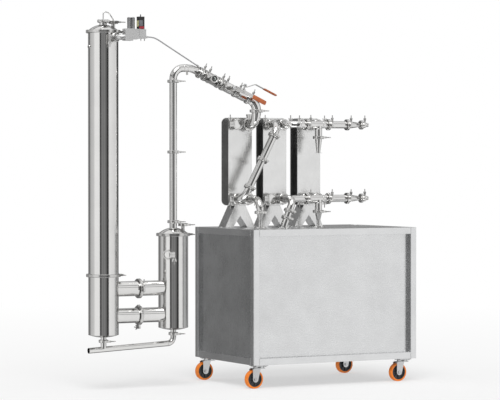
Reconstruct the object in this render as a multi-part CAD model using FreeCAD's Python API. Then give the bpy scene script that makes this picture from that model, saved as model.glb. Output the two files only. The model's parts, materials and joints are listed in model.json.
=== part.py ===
# Alcohol evaporator: three plate heat exchangers on a wheeled cabinet, joined by sanitary
# clamp piping to a vapour vessel and a tall condenser column at the left.
# Millimetres. While building, X runs right from the cabinet's left side, Y runs back from
# its front and Z runs up from the floor. At the end everything is moved so that the origin
# is the bottom centre of the whole apparatus without its cable.
import FreeCAD, Part
import math
import os
from FreeCAD import Vector as V

# Cabinet
CABINET_LENGTH = 1295.0
CABINET_DEPTH = 856.0
CABINET_HEIGHT = 915.0
FRAME_TUBE = 45.0
FRAME_WALL = 2.5
DECK_SHEET = 3.0
PANEL_SHEET = 2.0
FRONT_RECESS = 36.0
SIDE_RECESS = 26.0
FLOOR_LIFT = 8.0

# Casters
WHEEL_OD = 127.0
TREAD_THICK = 12.0
WHEEL_WIDTH = 38.0
WHEEL_TRAIL = 38.0
WHEEL_TOP_GAP = 6.0
FORK_PLATE = 5.0
FORK_WIDTH = 41.0
FORK_SIDE_GAP = 3.0
AXLE_DIAMETER = 12.0
KINGPIN_DIAMETER = 16.0
RACEWAY_DIAMETER = 74.0
CASTER_PLATE = 94.0
CASTER_PLATE_THICK = 9.0
CASTER_BOLT_INSET = 13.0
CASTER_INSET_X = 75.0
CASTER_INSET_Y = 65.0
RUNNING_GAP = 0.05
FACE_GAP = 0.3

# Sanitary tube and its clamp joints
TUBE_1_OD = 25.4
TUBE_15_OD = 38.1
TUBE_2_OD = 50.8
TUBE_25_OD = 63.5
TUBE_4_OD = 101.6
SHELL_OD = 203.2
TUBE_WALL = 1.65
SHELL_WALL = 2.1
FERRULE_15_OD = 50.5
FERRULE_2_OD = 64.0
FERRULE_25_OD = 77.5
FERRULE_4_OD = 119.0
FERRULE_8_OD = 217.4
FERRULE_THICK = 2.9
GASKET_THICK = 2.0
CLAMP_WALL = 7.0
CLAMP_WIDTH = 20.0
CLAMP_LIP = 2.6
CLAMP_SPLIT = 2.0
EAR_LENGTH = 24.0
EAR_BOLT = 17.0
EAR_THICK = 16.0
EAR_WIDTH = 14.0
CLAMP_BOLT = 7.0
HINGE_PIN = 9.0
WING_SPAN = 34.0
WING_THICK = 3.0
NUT_DIAMETER = 13.0
NUT_HUB = 14.0
WING_RISE = 17.0
BOLT_TAIL = 66.0
ELBOW_RADIUS = 76.2
TANGENT = 14.4
BRANCH_EASE = 0.1

# Plate heat exchangers and their stands
EXCHANGER_WIDTH = 186.0
EXCHANGER_HEIGHT = 612.0
EXCHANGER_DEPTH = 104.0
EXCHANGER_CORNER = 38.0
EXCHANGER_PITCH = 276.0
EXCHANGER_FIRST_X = 200.5
EXCHANGER_FRONT_Y = 560.0
COVER_PLATE = 5.0
PACK_INSET = 2.0
PACK_WALL = 3.0
INNER_PLATE = 2.0
INNER_PLATES = 8
PORT_OFFSET_X = 46.0
PORT_OFFSET_Z = 259.5
PORT_LENGTH = 45.0
STAND_HEIGHT = 152.0
STAND_BASE = 236.0
STAND_TOP = 85.0
STAND_NOTCH = 114.0
STAND_NOTCH_HEIGHT = 80.0
STAND_SHEET = 4.0

# Exchanger piping
CROSSOVER_Y = 420.0
CROSSOVER_MID = 305.0
MANIFOLD_JOINTS = (655.0, 829.0, 983.0)
MANIFOLD_DROP_X = 749.0
MANIFOLD_CONE = 92.0
MANIFOLD_END_LENGTH = 55.0
FREE_CONE_LENGTH = 108.0
DROP_1_Y = 355.0
DROP_2_Y = 375.0
DROP_2_LEAN = 21.8
DROP_2_BEND = 57.0
DROP_2_SECOND_JOINT = 54.0
DROP_CONE = 62.0
DECK_FLANGE = 84.0
DECK_FLANGE_THICK = 6.0

# Vapour line, all in one upright plane
VAPOUR_Y = 412.0
LINE_SLOPE = 24.5
GOOSENECK_FLAT = 29.8
SECOND_BEND_RADIUS = 150.0
WELD_RING = 1.2
WELD_RING_WIDTH = 8.0
LINE_JOINTS = (36.0, 80.0, 192.0, 232.0)
VALVE_FACE = 108.0
VALVE_BODY = 62.0
VALVE_BALL = 56.0
VALVE_BORE = 44.0
STEM_DIAMETER = 14.0
STEM_HEIGHT = 66.0
LEVER_LENGTH = 250.0
LEVER_WIDTH = 24.0
LEVER_THICK = 4.0
LEVER_CRANK = 45.0
LEVER_CRANK_RUN = 70.0
GRIP_LENGTH = 112.0
GRIP_WIDTH = 31.0
GRIP_THICK = 11.0
SIGHT_BODY_OD = 72.0
SIGHT_WINDOW_OD = 40.0
SIGHT_WINDOW_THICK = 8.0

# Vessel and column
VESSEL_X = -397.0
VESSEL_BOTTOM_Z = 414.0
VESSEL_TOP_Z = 1039.0
COLUMN_X = -920.0
COLUMN_BOTTOM_Z = 381.0
COLUMN_JOINT_Z = 773.0
COLUMN_TOP_Z = 2402.0
DISH_HEIGHT = 18.0
LID_HEIGHT = 40.0
LID_SKIRT = 6.0
SIDE_PORT_OFFSET = 74.0
VESSEL_PORT_Z = 1126.0
VESSEL_SIDE_PORT_Z = 1105.0
COLUMN_PORT_Z = 2472.0
DOWN_PIPE_MID_Z = 1599.0
FRONT_PORT_Z = 906.0
CROSS_TUBE_ZS = (498.0, 679.0)
BUNDLE_TUBE_OD = 19.05
BUNDLE_TUBE_WALL = 1.2
BUNDLE_PITCH = 36.0
TUBESHEET_THICK = 8.0

# Drain header
VESSEL_DRAIN_Z = 365.0
COLUMN_DRAIN_Z = 332.0
HEADER_START_Z = 302.0
HEADER_END_X = -1030.0
HEADER_FALL = 0.0476
HEADER_BEND = 45.0

# Control unit at the column's top
NOZZLE_Z = 2360.0
NOZZLE_ANGLE = -75.0
NOZZLE_REACH = 26.0
NOZZLE_BEND = 29.0
CONTROL_Y = 238.0
CONTROL_XS = (-850.0, -792.0, -754.0, -694.0)
CONTROL_TOP_Z = 2416.0
VALVE_BLOCK = 46.0
ACTUATOR_X = -798.0
ACTUATOR_OD = 50.0
ACTUATOR_HEIGHT = 77.0
COIL_BOX = 40.0
COIL_BOX_HEIGHT = 69.0
CONTROL_BOX_X = -727.5
CONTROL_BOX_WIDTH = 43.0
CONTROL_BOX_DEPTH = 38.0
CONTROL_BOX_HEIGHT = 82.0
JUNCTION_DEPTH = 34.0
JUNCTION_HEIGHT = 63.0
PIN_XS = (-725.0, -699.0)
PIN_LENGTH = 15.0
PIN_DIAMETER = 6.4
GLAND_DIAMETER = 16.0
GLAND_LENGTH = 22.0
LOOP_DIAMETER = 8.0
LOOP_HEIGHT = 60.0
CABLE_DIAMETER = 9.0
PROBE_DIAMETER = 14.0
PROBE_LENGTH = 18.0
PROBE_DEPTH = 30.0

# Inside the cabinet
TANK_OD = 300.0
TANK_LENGTH = 420.0
TANK_WALL = 2.0
PUMP_X = 830.0
PUMP_Y = 420.0
PUMP_OD = 130.0
PUMP_LENGTH = 60.0
MOTOR_OD = 120.0
MOTOR_LENGTH = 190.0
FOOT_SHEET = 4.0

# Where things follow from the sizes above
BASE_Z = 160.0
DECK_Z = BASE_Z + CABINET_HEIGHT
EXCHANGER_BOTTOM_Z = DECK_Z + STAND_HEIGHT
EXCHANGER_MID_Z = EXCHANGER_BOTTOM_Z + EXCHANGER_HEIGHT / 2
PORT_TOP_Z = EXCHANGER_MID_Z + PORT_OFFSET_Z
CLAMP_HEAD_LIP = 2.5
CLAMP_HEAD_THICK = 4.0
LIP_THICK = FERRULE_THICK * 0.6
CAP_CROWN = FERRULE_THICK * 1.4
M8_SHANK = 8.0
M8_HEAD = 13.0
M8_HEAD_HEIGHT = 5.0
BOLT_CLEARANCE = 0.3
CROWN_OVERHANG = 12.0
LEG_FLARE = 18.0
HUB_BOSS = 9.0
HUB_FILLET = 3.0
HUB_RIM = 5.0
HUB_RIM_STEP = 2.0
TREAD_SHOULDER = 3.0
TREAD_CROWN = 0.8
TREAD_EDGE = 8.0
TAB_LENGTH = 28.0
TAB_WIDTH = 20.0
TAB_THICK = 3.0
TAB_BOLT_HEAD = 14.0
TAB_BOLT_INSET = 9.0
NUB_DIAMETER = 14.0
NUB_LENGTH = 20.0
GLASS_INSET = 1.5
VALVE_CORNER = 9.0
LUG_DIAMETER = 22.0
LUG_LENGTH = 9.0
LUG_Z = 2300.0
SIDE_CAP_DROP = 6.0
LOOP_FIRST_RUN = 40.0
LOOP_LAST_RISE = 14.0
GLAND_MOUTH = 1.5
TANK_NECK = 40.0
TANK_LEG = 28.0
TANK_LEG_INSET = 30.0
TANK_LIFT = 60.0
PUMP_PORT = 40.0
PUMP_FOOT_FRONT = 20.0
PUMP_FOOT_BACK = 30.0
PUMP_FOOT_WIDTH = 120.0
SADDLE_WIDTH = 80.0
SADDLE_INSET = 10.0
SADDLE_DROP = 30.0
PUMP_CLEAR = 10.0
PORT_Y = EXCHANGER_FRONT_Y - PORT_LENGTH
UP = V(0, 0, 1)
RIGHT = V(1, 0, 0)
BACK = V(0, 1, 0)
LEFT = V(-1, 0, 0)
FRONT = V(0, -1, 0)
DOWN = V(0, 0, -1)


class Line:
    """One tube size with the ferrule and clamp that go with it."""

    def __init__(self, tube_od, wall, ferrule_od):
        self.r = tube_od / 2
        self.bore = tube_od / 2 - wall
        self.ferrule = ferrule_od / 2
        self.groove = ferrule_od / 2 + FACE_GAP
        self.clamp = self.groove + CLAMP_WALL
        self.lip = ferrule_od / 2 - CLAMP_LIP


LINE_1 = Line(TUBE_1_OD, TUBE_WALL, FERRULE_15_OD)
LINE_15 = Line(TUBE_15_OD, TUBE_WALL, FERRULE_15_OD)
LINE_2 = Line(TUBE_2_OD, TUBE_WALL, FERRULE_2_OD)
LINE_25 = Line(TUBE_25_OD, TUBE_WALL, FERRULE_25_OD)
LINE_4 = Line(TUBE_4_OD, TUBE_WALL, FERRULE_4_OD)
LINE_8 = Line(SHELL_OD, SHELL_WALL, FERRULE_8_OD)

NODES = {}


def add(node, *shapes):
    """Puts solids into a node."""
    for shape in shapes:
        NODES.setdefault(node, []).extend(shape.Solids)


def place(shape, at, axis=UP, toward=None):
    """Moves a shape from the origin so that its Z runs along axis and its X toward a side."""
    z = V(axis).normalize()
    x = V(toward) if toward is not None else (V(1, 0, 0) if abs(z.x) < 0.9 else V(0, 1, 0))
    x = (x - z * x.dot(z)).normalize()
    y = z.cross(x)
    matrix = FreeCAD.Matrix(x.x, y.x, z.x, at.x, x.y, y.y, z.y, at.y, x.z, y.z, z.z, at.z)
    moved = shape.copy()
    moved.transformShape(matrix)
    return moved


def box(x0, x1, y0, y1, z0, z1):
    return Part.makeBox(x1 - x0, y1 - y0, z1 - z0, V(x0, y0, z0))


def rod(start, end, radius):
    span = end - start
    return Part.makeCylinder(radius, span.Length, start, span)


def turned(points):
    """A solid of revolution about Z from (radius, height) points."""
    wire = Part.makePolygon([V(r, 0, z) for r, z in points] + [V(points[0][0], 0, points[0][1])])
    return Part.Face(wire).revolve(V(0, 0, 0), UP, 360)


def joined(shapes):
    """One solid from shapes that touch."""
    result = shapes[0].fuse(shapes[1:]) if len(shapes) > 1 else shapes[0]
    return result.Solids[0] if len(result.Solids) == 1 else result


def ring_face(center, normal, outer, inner):
    disc = Part.Face(Part.Wire(Part.makeCircle(outer, center, normal)))
    return disc.cut(Part.Face(Part.Wire(Part.makeCircle(inner, center, normal)))).Faces[0]


def bend(start, direction, turned_to, radius, outer, inner):
    """A bent tube from start, and its end point."""
    normal = direction.cross(turned_to).normalize()
    inward = normal.cross(direction).normalize()
    center = start + inward * radius
    angle = math.degrees(direction.getAngle(turned_to))
    if inner > 0:
        face = ring_face(start, direction, outer, inner)
    else:
        face = Part.Face(Part.Wire(Part.makeCircle(outer, start, direction)))
    end = center + FreeCAD.Rotation(normal, angle).multVec(start - center)
    return face.revolve(center, normal, angle), end


def straight(start, end, line, ferrules=(False, False), end_line=None):
    """A straight tube or cone, with a ferrule at each end that asks for one."""
    last = end_line or line
    length = (end - start).Length
    outer = []
    if ferrules[0]:
        outer += [(line.ferrule, 0), (line.ferrule, LIP_THICK), (line.r, FERRULE_THICK)]
    else:
        outer += [(line.r, 0)]
    if ferrules[1]:
        outer += [(last.r, length - FERRULE_THICK), (last.ferrule, length - LIP_THICK)]
        outer += [(last.ferrule, length)]
    else:
        outer += [(last.r, length)]
    return place(turned(outer + [(last.bore, length), (line.bore, 0)]), start, end - start)


def ferrule(end, outward, line):
    """A filled ferrule whose face is at end, facing outward."""
    profile = [(0, 0), (line.ferrule, 0), (line.ferrule, LIP_THICK), (line.r, FERRULE_THICK),
               (0, FERRULE_THICK)]
    return place(turned(profile), end, outward * -1)


def branch(start, joint, line, bore_to=1.0):
    """A filled side tube with its ferrule half a gasket short of a joint, and its bore."""
    way = (joint - start).normalize()
    end = joint - way * (GASKET_THICK / 2)
    outer = rod(start, end, line.r - BRANCH_EASE).fuse(ferrule(end, way, line))
    return outer, rod(start, end + way * bore_to, line.bore - BRANCH_EASE)


def bent_core(start, corner, end, radius, r, past=0.0):
    """A solid rod bent once at corner, running past both ends by past."""
    ahead, leaving = (corner - start).normalize(), (end - corner).normalize()
    turn_at = corner - ahead * (radius * math.tan(ahead.getAngle(leaving) / 2))
    arc, at = bend(turn_at, ahead, leaving, radius, r, 0)
    return rod(start - ahead * past, turn_at, r).fuse([arc, rod(at, end + leaving * past, r)])


def pipe(points, line, ferrules=(True, True), radius=ELBOW_RADIUS):
    """A bent tube through points. An end with a ferrule stops half a gasket short."""
    points = [V(p) for p in points]
    if ferrules[0]:
        points[0] += (points[1] - points[0]).normalize() * (GASKET_THICK / 2)
    if ferrules[1]:
        points[-1] += (points[-2] - points[-1]).normalize() * (GASKET_THICK / 2)
    parts = []
    at = points[0]
    for i in range(1, len(points) - 1):
        direction = (points[i] - points[i - 1]).normalize()
        leaving = (points[i + 1] - points[i]).normalize()
        setback = radius * math.tan(direction.getAngle(leaving) / 2)
        start = points[i] - direction * setback
        if (start - at).Length > 0.01:
            parts.append(straight(at, start, line, (ferrules[0] and i == 1, False)))
        arc, at = bend(start, direction, leaving, radius, line.r, line.bore)
        parts.append(arc)
    parts.append(straight(at, points[-1], line, (ferrules[0] and len(points) == 2, ferrules[1])))
    return joined(parts)


def half_clamp(line, sign):
    """One clamp half on the Z axis, with its ear at +X; sign picks the +Y or -Y half."""
    lip_z = GASKET_THICK / 2 + FERRULE_THICK + FACE_GAP
    edge = CLAMP_WIDTH / 2
    chamfer = CLAMP_WALL * 0.35
    profile = [(line.lip, -edge), (line.clamp - chamfer, -edge), (line.clamp, -edge + chamfer),
               (line.clamp, edge - chamfer), (line.clamp - chamfer, edge), (line.lip, edge),
               (line.lip, lip_z), (line.groove, lip_z * 0.7), (line.groove, -lip_z * 0.7), (line.lip, -lip_z)]
    shell = turned(profile)
    ear_out = line.clamp + EAR_LENGTH
    ear_in = line.groove + 1.0
    ear_high = CLAMP_SPLIT / 2 + EAR_THICK
    ear = box(ear_in, ear_out, 0, ear_high, -EAR_WIDTH / 2, EAR_WIDTH / 2)
    bolt_x = line.clamp + EAR_BOLT
    hole = rod(V(bolt_x, -1, 0), V(bolt_x, ear_high + 1, 0), CLAMP_BOLT / 2 + FACE_GAP)
    far = line.clamp * 2
    keep = box(-far, far, CLAMP_SPLIT / 2, far, -CLAMP_WIDTH, CLAMP_WIDTH)
    pin_x = -line.clamp
    pin = rod(V(pin_x, 0, -edge), V(pin_x, 0, edge), HINGE_PIN / 2 + FACE_GAP)
    half = shell.fuse(ear).common(keep).cut(hole).cut(pin)
    if sign < 0:
        half = half.mirror(V(0, 0, 0), BACK)
    return half


def wing_nut(line):
    """The swing bolt with its wing nut, tangent to the clamp at +X."""
    bolt_x = line.clamp + EAR_BOLT
    face = CLAMP_SPLIT / 2 + EAR_THICK + FACE_GAP
    top = face + NUT_HUB
    tip = top + WING_RISE
    bolt = rod(V(bolt_x, -face, 0), V(bolt_x, BOLT_TAIL, 0), CLAMP_BOLT / 2)
    head = rod(V(bolt_x, -face - CLAMP_HEAD_THICK, 0), V(bolt_x, -face, 0), CLAMP_BOLT / 2 + CLAMP_HEAD_LIP)
    nut = rod(V(bolt_x, face, 0), V(bolt_x, top, 0), NUT_DIAMETER / 2)
    span = WING_SPAN / 2
    side = [(3, face + 1), (span - 4, top - 2), (span, tip - 4), (span - 5, tip), (3, top)]
    outline = side + [(-x, y) for x, y in reversed(side)]
    wire = Part.makePolygon([V(x, y, 0) for x, y in outline + outline[:1]])
    wings = Part.Face(wire).extrude(V(0, 0, WING_THICK))
    wings.translate(V(bolt_x, 0, -WING_THICK / 2))
    return joined([bolt, head, nut, wings])


CLAMP_PARTS = {}


def clamp(at, axis, line, nut, ears=FRONT, node="pipe_clamps"):
    """A closed clamp with its gasket at a joint. The bolt points along nut, and the ears
    that it holds together stick out on the ears side."""
    side = V(nut).cross(V(axis))
    if side.dot(ears) < 0:
        axis, side = V(axis) * -1, side * -1
    if line.ferrule not in CLAMP_PARTS:
        pin_x = -line.clamp
        pin = rod(V(pin_x, 0, -CLAMP_WIDTH / 2), V(pin_x, 0, CLAMP_WIDTH / 2), HINGE_PIN / 2)
        CLAMP_PARTS[line.ferrule] = (half_clamp(line, 1), half_clamp(line, -1), pin, wing_nut(line))
    upper, lower, pin, bolt = CLAMP_PARTS[line.ferrule]
    add(node, place(upper, at, axis, side), place(lower, at, axis, side), place(pin, at, axis, side))
    add("clamp_wing_nuts", place(bolt, at, axis, side))
    half = GASKET_THICK / 2
    gasket = turned([(line.bore, -half), (line.ferrule, -half), (line.ferrule, half), (line.bore, half)])
    add("gaskets", place(gasket, at, axis))


def cap(at, axis, line):
    """A blank cap outside a joint, facing along axis."""
    disc = turned([(0, 0), (line.ferrule, 0), (line.ferrule, LIP_THICK), (line.r, FERRULE_THICK), (0, CAP_CROWN)])
    return place(disc, at + V(axis).normalize() * (GASKET_THICK / 2), axis)


def dished_head(radius, height, wall, flange=None):
    """A domed head rising from z = 0, with a port hole left to the caller."""
    def dome(r, h, lift):
        sphere = (r * r + h * h) / (2 * h)
        ball = Part.makeSphere(sphere, V(0, 0, lift + h - sphere))
        return ball.common(Part.makeCylinder(r, h, V(0, 0, lift)))
    skirt = LID_SKIRT
    outer = Part.makeCylinder(radius, skirt).fuse(dome(radius, height, skirt))
    inner = Part.makeCylinder(radius - wall, skirt + 1, V(0, 0, -1))
    inner = inner.fuse(dome(radius - wall, height - wall, skirt))
    head = outer.cut(inner)
    if flange:
        head = head.fuse(turned([(radius - wall, 0), (flange, 0), (flange, LIP_THICK),
                                 (radius, FERRULE_THICK), (radius - wall, FERRULE_THICK)]))
    return head


def frame():
    """Square-tube posts and the rails between them."""
    tube = FRAME_TUBE
    for x in (0, CABINET_LENGTH - tube):
        for y in (0, CABINET_DEPTH - tube):
            post = box(x, x + tube, y, y + tube, BASE_Z, DECK_Z)
            hollow = box(x + FRAME_WALL, x + tube - FRAME_WALL, y + FRAME_WALL, y + tube - FRAME_WALL,
                         BASE_Z - 1, DECK_Z - FRAME_WALL)
            add("frame_posts", post.cut(hollow))
    for z in (BASE_Z, DECK_Z - tube):
        z0, z1 = z + FRAME_WALL, z + tube - FRAME_WALL
        for y in (0, CABINET_DEPTH - tube):
            rail = box(tube, CABINET_LENGTH - tube, y, y + tube, z, z + tube)
            add("frame_rails", rail.cut(box(0, CABINET_LENGTH, y + FRAME_WALL, y + tube - FRAME_WALL, z0, z1)))
        for x in (0, CABINET_LENGTH - tube):
            rail = box(x, x + tube, tube, CABINET_DEPTH - tube, z, z + tube)
            add("frame_rails", rail.cut(box(x + FRAME_WALL, x + tube - FRAME_WALL, 0, CABINET_DEPTH, z0, z1)))


def panels():
    """The deck, floor, front, back and end sheets, butted to the frame tubes."""
    tube = FRAME_TUBE
    right, rear = CABINET_LENGTH - tube, CABINET_DEPTH - tube
    add("deck_panel", box(tube, right, tube, rear, DECK_Z - DECK_SHEET, DECK_Z))
    floor_z = BASE_Z + FLOOR_LIFT
    add("floor_panel", box(tube, right, tube, rear, floor_z, floor_z + DECK_SHEET))
    low, high = BASE_Z + tube, DECK_Z - tube
    add("front_panel", box(tube, right, FRONT_RECESS, FRONT_RECESS + PANEL_SHEET, low, high))
    back_y = CABINET_DEPTH - FRONT_RECESS
    add("side_panels", box(tube, right, back_y - PANEL_SHEET, back_y, low, high))
    add("side_panels", box(SIDE_RECESS, SIDE_RECESS + PANEL_SHEET, tube, rear, low, high))
    right_x = CABINET_LENGTH - SIDE_RECESS
    add("side_panels", box(right_x - PANEL_SHEET, right_x, tube, rear, low, high))


def caster_places():
    for y in (CASTER_INSET_Y, CABINET_DEPTH - CASTER_INSET_Y):
        for x in (CASTER_INSET_X, CABINET_LENGTH - CASTER_INSET_X):
            yield V(x, y, 0)


def casters():
    """Four swivel casters: plate, fork, hub and tread. The wheels trail to the left."""
    plate_low = BASE_Z - CASTER_PLATE_THICK
    wheel_r = WHEEL_OD / 2
    fork_top = WHEEL_OD + WHEEL_TOP_GAP + FORK_PLATE
    leg_in = WHEEL_WIDTH / 2 + FORK_SIDE_GAP
    for number, at in enumerate(caster_places(), 1):
        half = CASTER_PLATE / 2
        plate = box(-half, half, -half, half, plate_low, BASE_Z)
        race = Part.makeCylinder(RACEWAY_DIAMETER / 2, plate_low - fork_top - FACE_GAP, V(0, 0, fork_top + FACE_GAP))
        bore = Part.makeCylinder(KINGPIN_DIAMETER / 2 + RUNNING_GAP, BASE_Z, V(0, 0, 0))
        plate = plate.fuse(race).cut(bore)
        inset = half - CASTER_BOLT_INSET
        for dx in (-inset, inset):
            for dy in (-inset, inset):
                plate = plate.cut(Part.makeCylinder(M8_SHANK / 2 + BOLT_CLEARANCE, BASE_Z, V(dx, dy, 0)))
                bolt = Part.makeCylinder(M8_SHANK / 2, CASTER_PLATE_THICK, V(dx, dy, plate_low))
                head = Part.makeCylinder(M8_HEAD / 2, M8_HEAD_HEIGHT, V(dx, dy, plate_low - M8_HEAD_HEIGHT))
                bolt = bolt.fuse(head)
                bolt.translate(at)
                add("bolts", bolt)
        plate.translate(at)
        add("caster_plates", plate)

        axle_at = V(-WHEEL_TRAIL, 0, wheel_r)
        crown = box(-WHEEL_TRAIL - CROWN_OVERHANG, RACEWAY_DIAMETER / 2, -leg_in - FORK_PLATE, leg_in + FORK_PLATE,
                    fork_top - FORK_PLATE, fork_top)
        kingpin = Part.makeCylinder(KINGPIN_DIAMETER / 2, BASE_Z - 2 - fork_top, V(0, 0, fork_top))
        solids = [crown, kingpin]
        for y0 in (leg_in, -leg_in - FORK_PLATE):
            solids.append(fork_leg(axle_at, y0, fork_top))
        fork = joined(solids)
        fork_axle = rod(axle_at - BACK * (leg_in + FORK_PLATE + 6), axle_at + BACK * (leg_in + FORK_PLATE + 6),
                        AXLE_DIAMETER / 2)
        fork = fork.fuse(fork_axle)
        fork.translate(at)
        add("caster_fork_%d" % number, fork)
        hub, tread = wheel()
        for node, shape in (("wheel_hub_%d" % number, hub), ("wheel_tread_%d" % number, tread)):
            shape.translate(at + axle_at)
            add(node, shape)


def fork_leg(axle_at, y0, fork_top):
    """One leg plate: wide at the crown, rounded about the axle."""
    r = FORK_WIDTH / 2
    x, z = axle_at.x, axle_at.z
    top = fork_top - FORK_PLATE
    left = V(x - r, y0, z)
    right = V(x + r, y0, z)
    edges = [Part.LineSegment(V(x - r, y0, top), left).toShape(),
             Part.Arc(left, V(x, y0, z - r), right).toShape(),
             Part.LineSegment(right, V(x + r + LEG_FLARE, y0, top)).toShape(),
             Part.LineSegment(V(x + r + LEG_FLARE, y0, top), V(x - r, y0, top)).toShape()]
    return Part.Face(Part.Wire(edges)).extrude(BACK * FORK_PLATE)


def wheel():
    """Hub and tread about the Y axis, centred on the origin."""
    rim = WHEEL_OD / 2 - TREAD_THICK
    half = WHEEL_WIDTH / 2
    bore = AXLE_DIAMETER / 2 + RUNNING_GAP
    web = half * 0.45
    boss, foot = bore + HUB_BOSS, bore + HUB_BOSS + HUB_FILLET
    inside, shoulder = rim - HUB_RIM - HUB_RIM_STEP, rim - HUB_RIM
    edge = half - HUB_RIM_STEP
    hub = turned([(bore, -half), (boss, -half), (foot, -web), (inside, -web), (shoulder, -edge), (rim, -edge),
                  (rim, edge), (shoulder, edge), (inside, web), (foot, web), (boss, half), (bore, half)])
    outer = WHEEL_OD / 2
    low, crown = outer - TREAD_SHOULDER, outer - TREAD_CROWN
    tread = turned([(rim, -half + 1), (low, -half), (crown, -half + TREAD_SHOULDER), (outer, -half + TREAD_EDGE),
                    (outer, half - TREAD_EDGE), (crown, half - TREAD_SHOULDER), (low, half), (rim, half - 1)])
    origin = V(0, 0, 0)
    return place(hub, origin, BACK), place(tread, origin, BACK)


def rounded_plate(inset, y0, y1):
    """A plate of the exchanger's outline, centred on X = 0 and Z = 0."""
    w, h = EXCHANGER_WIDTH / 2 - inset, EXCHANGER_HEIGHT / 2 - inset
    plate = box(-w, w, y0, y1, -h, h)
    edges = [e for e in plate.Edges if abs(e.tangentAt(e.FirstParameter).y) > 0.99]
    return plate.makeFillet(EXCHANGER_CORNER - inset, edges)


def exchanger(number):
    """One brazed exchanger: cover plates, hollow pack with inner plates, four ports."""
    x = EXCHANGER_FIRST_X + (number - 1) * EXCHANGER_PITCH
    y0, y1 = 0.0, EXCHANGER_DEPTH
    covers = [rounded_plate(0, y0, y0 + COVER_PLATE), rounded_plate(0, y1 - COVER_PLATE, y1)]
    pack = rounded_plate(PACK_INSET, y0 + COVER_PLATE, y1 - COVER_PLATE)
    hollow = rounded_plate(PACK_INSET + PACK_WALL, y0 + COVER_PLATE, y1 - COVER_PLATE)
    body = joined([pack.cut(hollow)] + covers)
    ports = [(sx * PORT_OFFSET_X, sz * PORT_OFFSET_Z) for sx in (-1, 1) for sz in (-1, 1)]
    for px, pz in ports:
        line = port_line(number, px, pz)
        bore = Part.makeCylinder(line.bore, COVER_PLATE + 2, V(px, -1, pz), BACK)
        body = body.cut(bore)
        stub_end = V(px, -PORT_LENGTH + GASKET_THICK / 2, pz)
        body = body.fuse(straight(stub_end, V(px, 0, pz), line, (True, False)))
    at = V(x, EXCHANGER_FRONT_Y, EXCHANGER_MID_Z)
    body.translate(at)
    node = "exchanger_%d" % number
    add(node, body)
    inner_depth = EXCHANGER_DEPTH - 2 * COVER_PLATE
    pitch = inner_depth / (INNER_PLATES + 1)
    for i in range(INNER_PLATES):
        y = COVER_PLATE + pitch * (i + 1) - INNER_PLATE / 2
        plate = rounded_plate(PACK_INSET + PACK_WALL + FACE_GAP, y, y + INNER_PLATE)
        for px, pz in ports:
            plate = plate.cut(Part.makeCylinder(LINE_2.bore, 10, V(px, y - 4, pz), BACK))
        plate.translate(at)
        add(node, plate)


def port_line(number, px, pz):
    """The first exchanger's top right port carries the vapour line and is larger."""
    return LINE_25 if number == 1 and px > 0 and pz > 0 else LINE_2


def port(number, side, level):
    """The joint plane of a port: side -1 left or 1 right, level -1 low or 1 top."""
    x = EXCHANGER_FIRST_X + (number - 1) * EXCHANGER_PITCH + side * PORT_OFFSET_X
    return V(x, PORT_Y, EXCHANGER_MID_Z + level * PORT_OFFSET_Z)


def stands():
    """A folded A-shaped stand under each exchanger, open below."""
    base, top = STAND_BASE / 2, STAND_TOP / 2
    notch = STAND_NOTCH / 2
    for number in (1, 2, 3):
        x = EXCHANGER_FIRST_X + (number - 1) * EXCHANGER_PITCH
        points = [(-base, 0), (-notch, 0), (0, STAND_NOTCH_HEIGHT), (notch, 0), (base, 0),
                  (top, STAND_HEIGHT), (-top, STAND_HEIGHT), (-base, 0)]
        wire = Part.makePolygon([V(px, 0, pz) for px, pz in points])
        solid = Part.Face(wire).extrude(V(0, EXCHANGER_DEPTH, 0))
        feet = [f for f in solid.Faces if abs(f.CenterOfMass.z) < 0.01]
        solid = solid.makeThickness(feet, -STAND_SHEET, 0.001)
        solid.translate(V(x, EXCHANGER_FRONT_Y, DECK_Z))
        add("exchanger_stands", solid)
        for side in (-1, 1):
            bolt_at = V(x + side * (base + TAB_BOLT_INSET), EXCHANGER_FRONT_Y + EXCHANGER_DEPTH / 2, DECK_Z)
            tab = box(-TAB_WIDTH / 2, TAB_WIDTH / 2, -TAB_LENGTH / 2, TAB_LENGTH / 2, 0, TAB_THICK)
            tab = tab.cut(Part.makeCylinder(M8_SHANK / 2 + BOLT_CLEARANCE, TAB_THICK))
            tab.translate(bolt_at + V(side * 1.0, 0, 0))
            add("exchanger_stands", tab)
            bolt = Part.makeCylinder(TAB_BOLT_HEAD / 2, M8_HEAD_HEIGHT, V(0, 0, TAB_THICK))
            bolt = bolt.fuse(Part.makeCylinder(M8_SHANK / 2, TAB_THICK))
            bolt.translate(bolt_at + V(side * 1.0, 0, 0))
            add("bolts", bolt)


def deck_flange(at, line):
    """A flange on the deck that a drop tube ends in."""
    r = DECK_FLANGE / 2
    flange = turned([(line.bore, 0), (r, 0), (r, DECK_FLANGE_THICK - 2), (r - 2, DECK_FLANGE_THICK),
                     (line.r, DECK_FLANGE_THICK), (line.bore, DECK_FLANGE_THICK)])
    flange.translate(at)
    return flange


def along(start, end, distance):
    return start + (end - start).normalize() * distance


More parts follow.
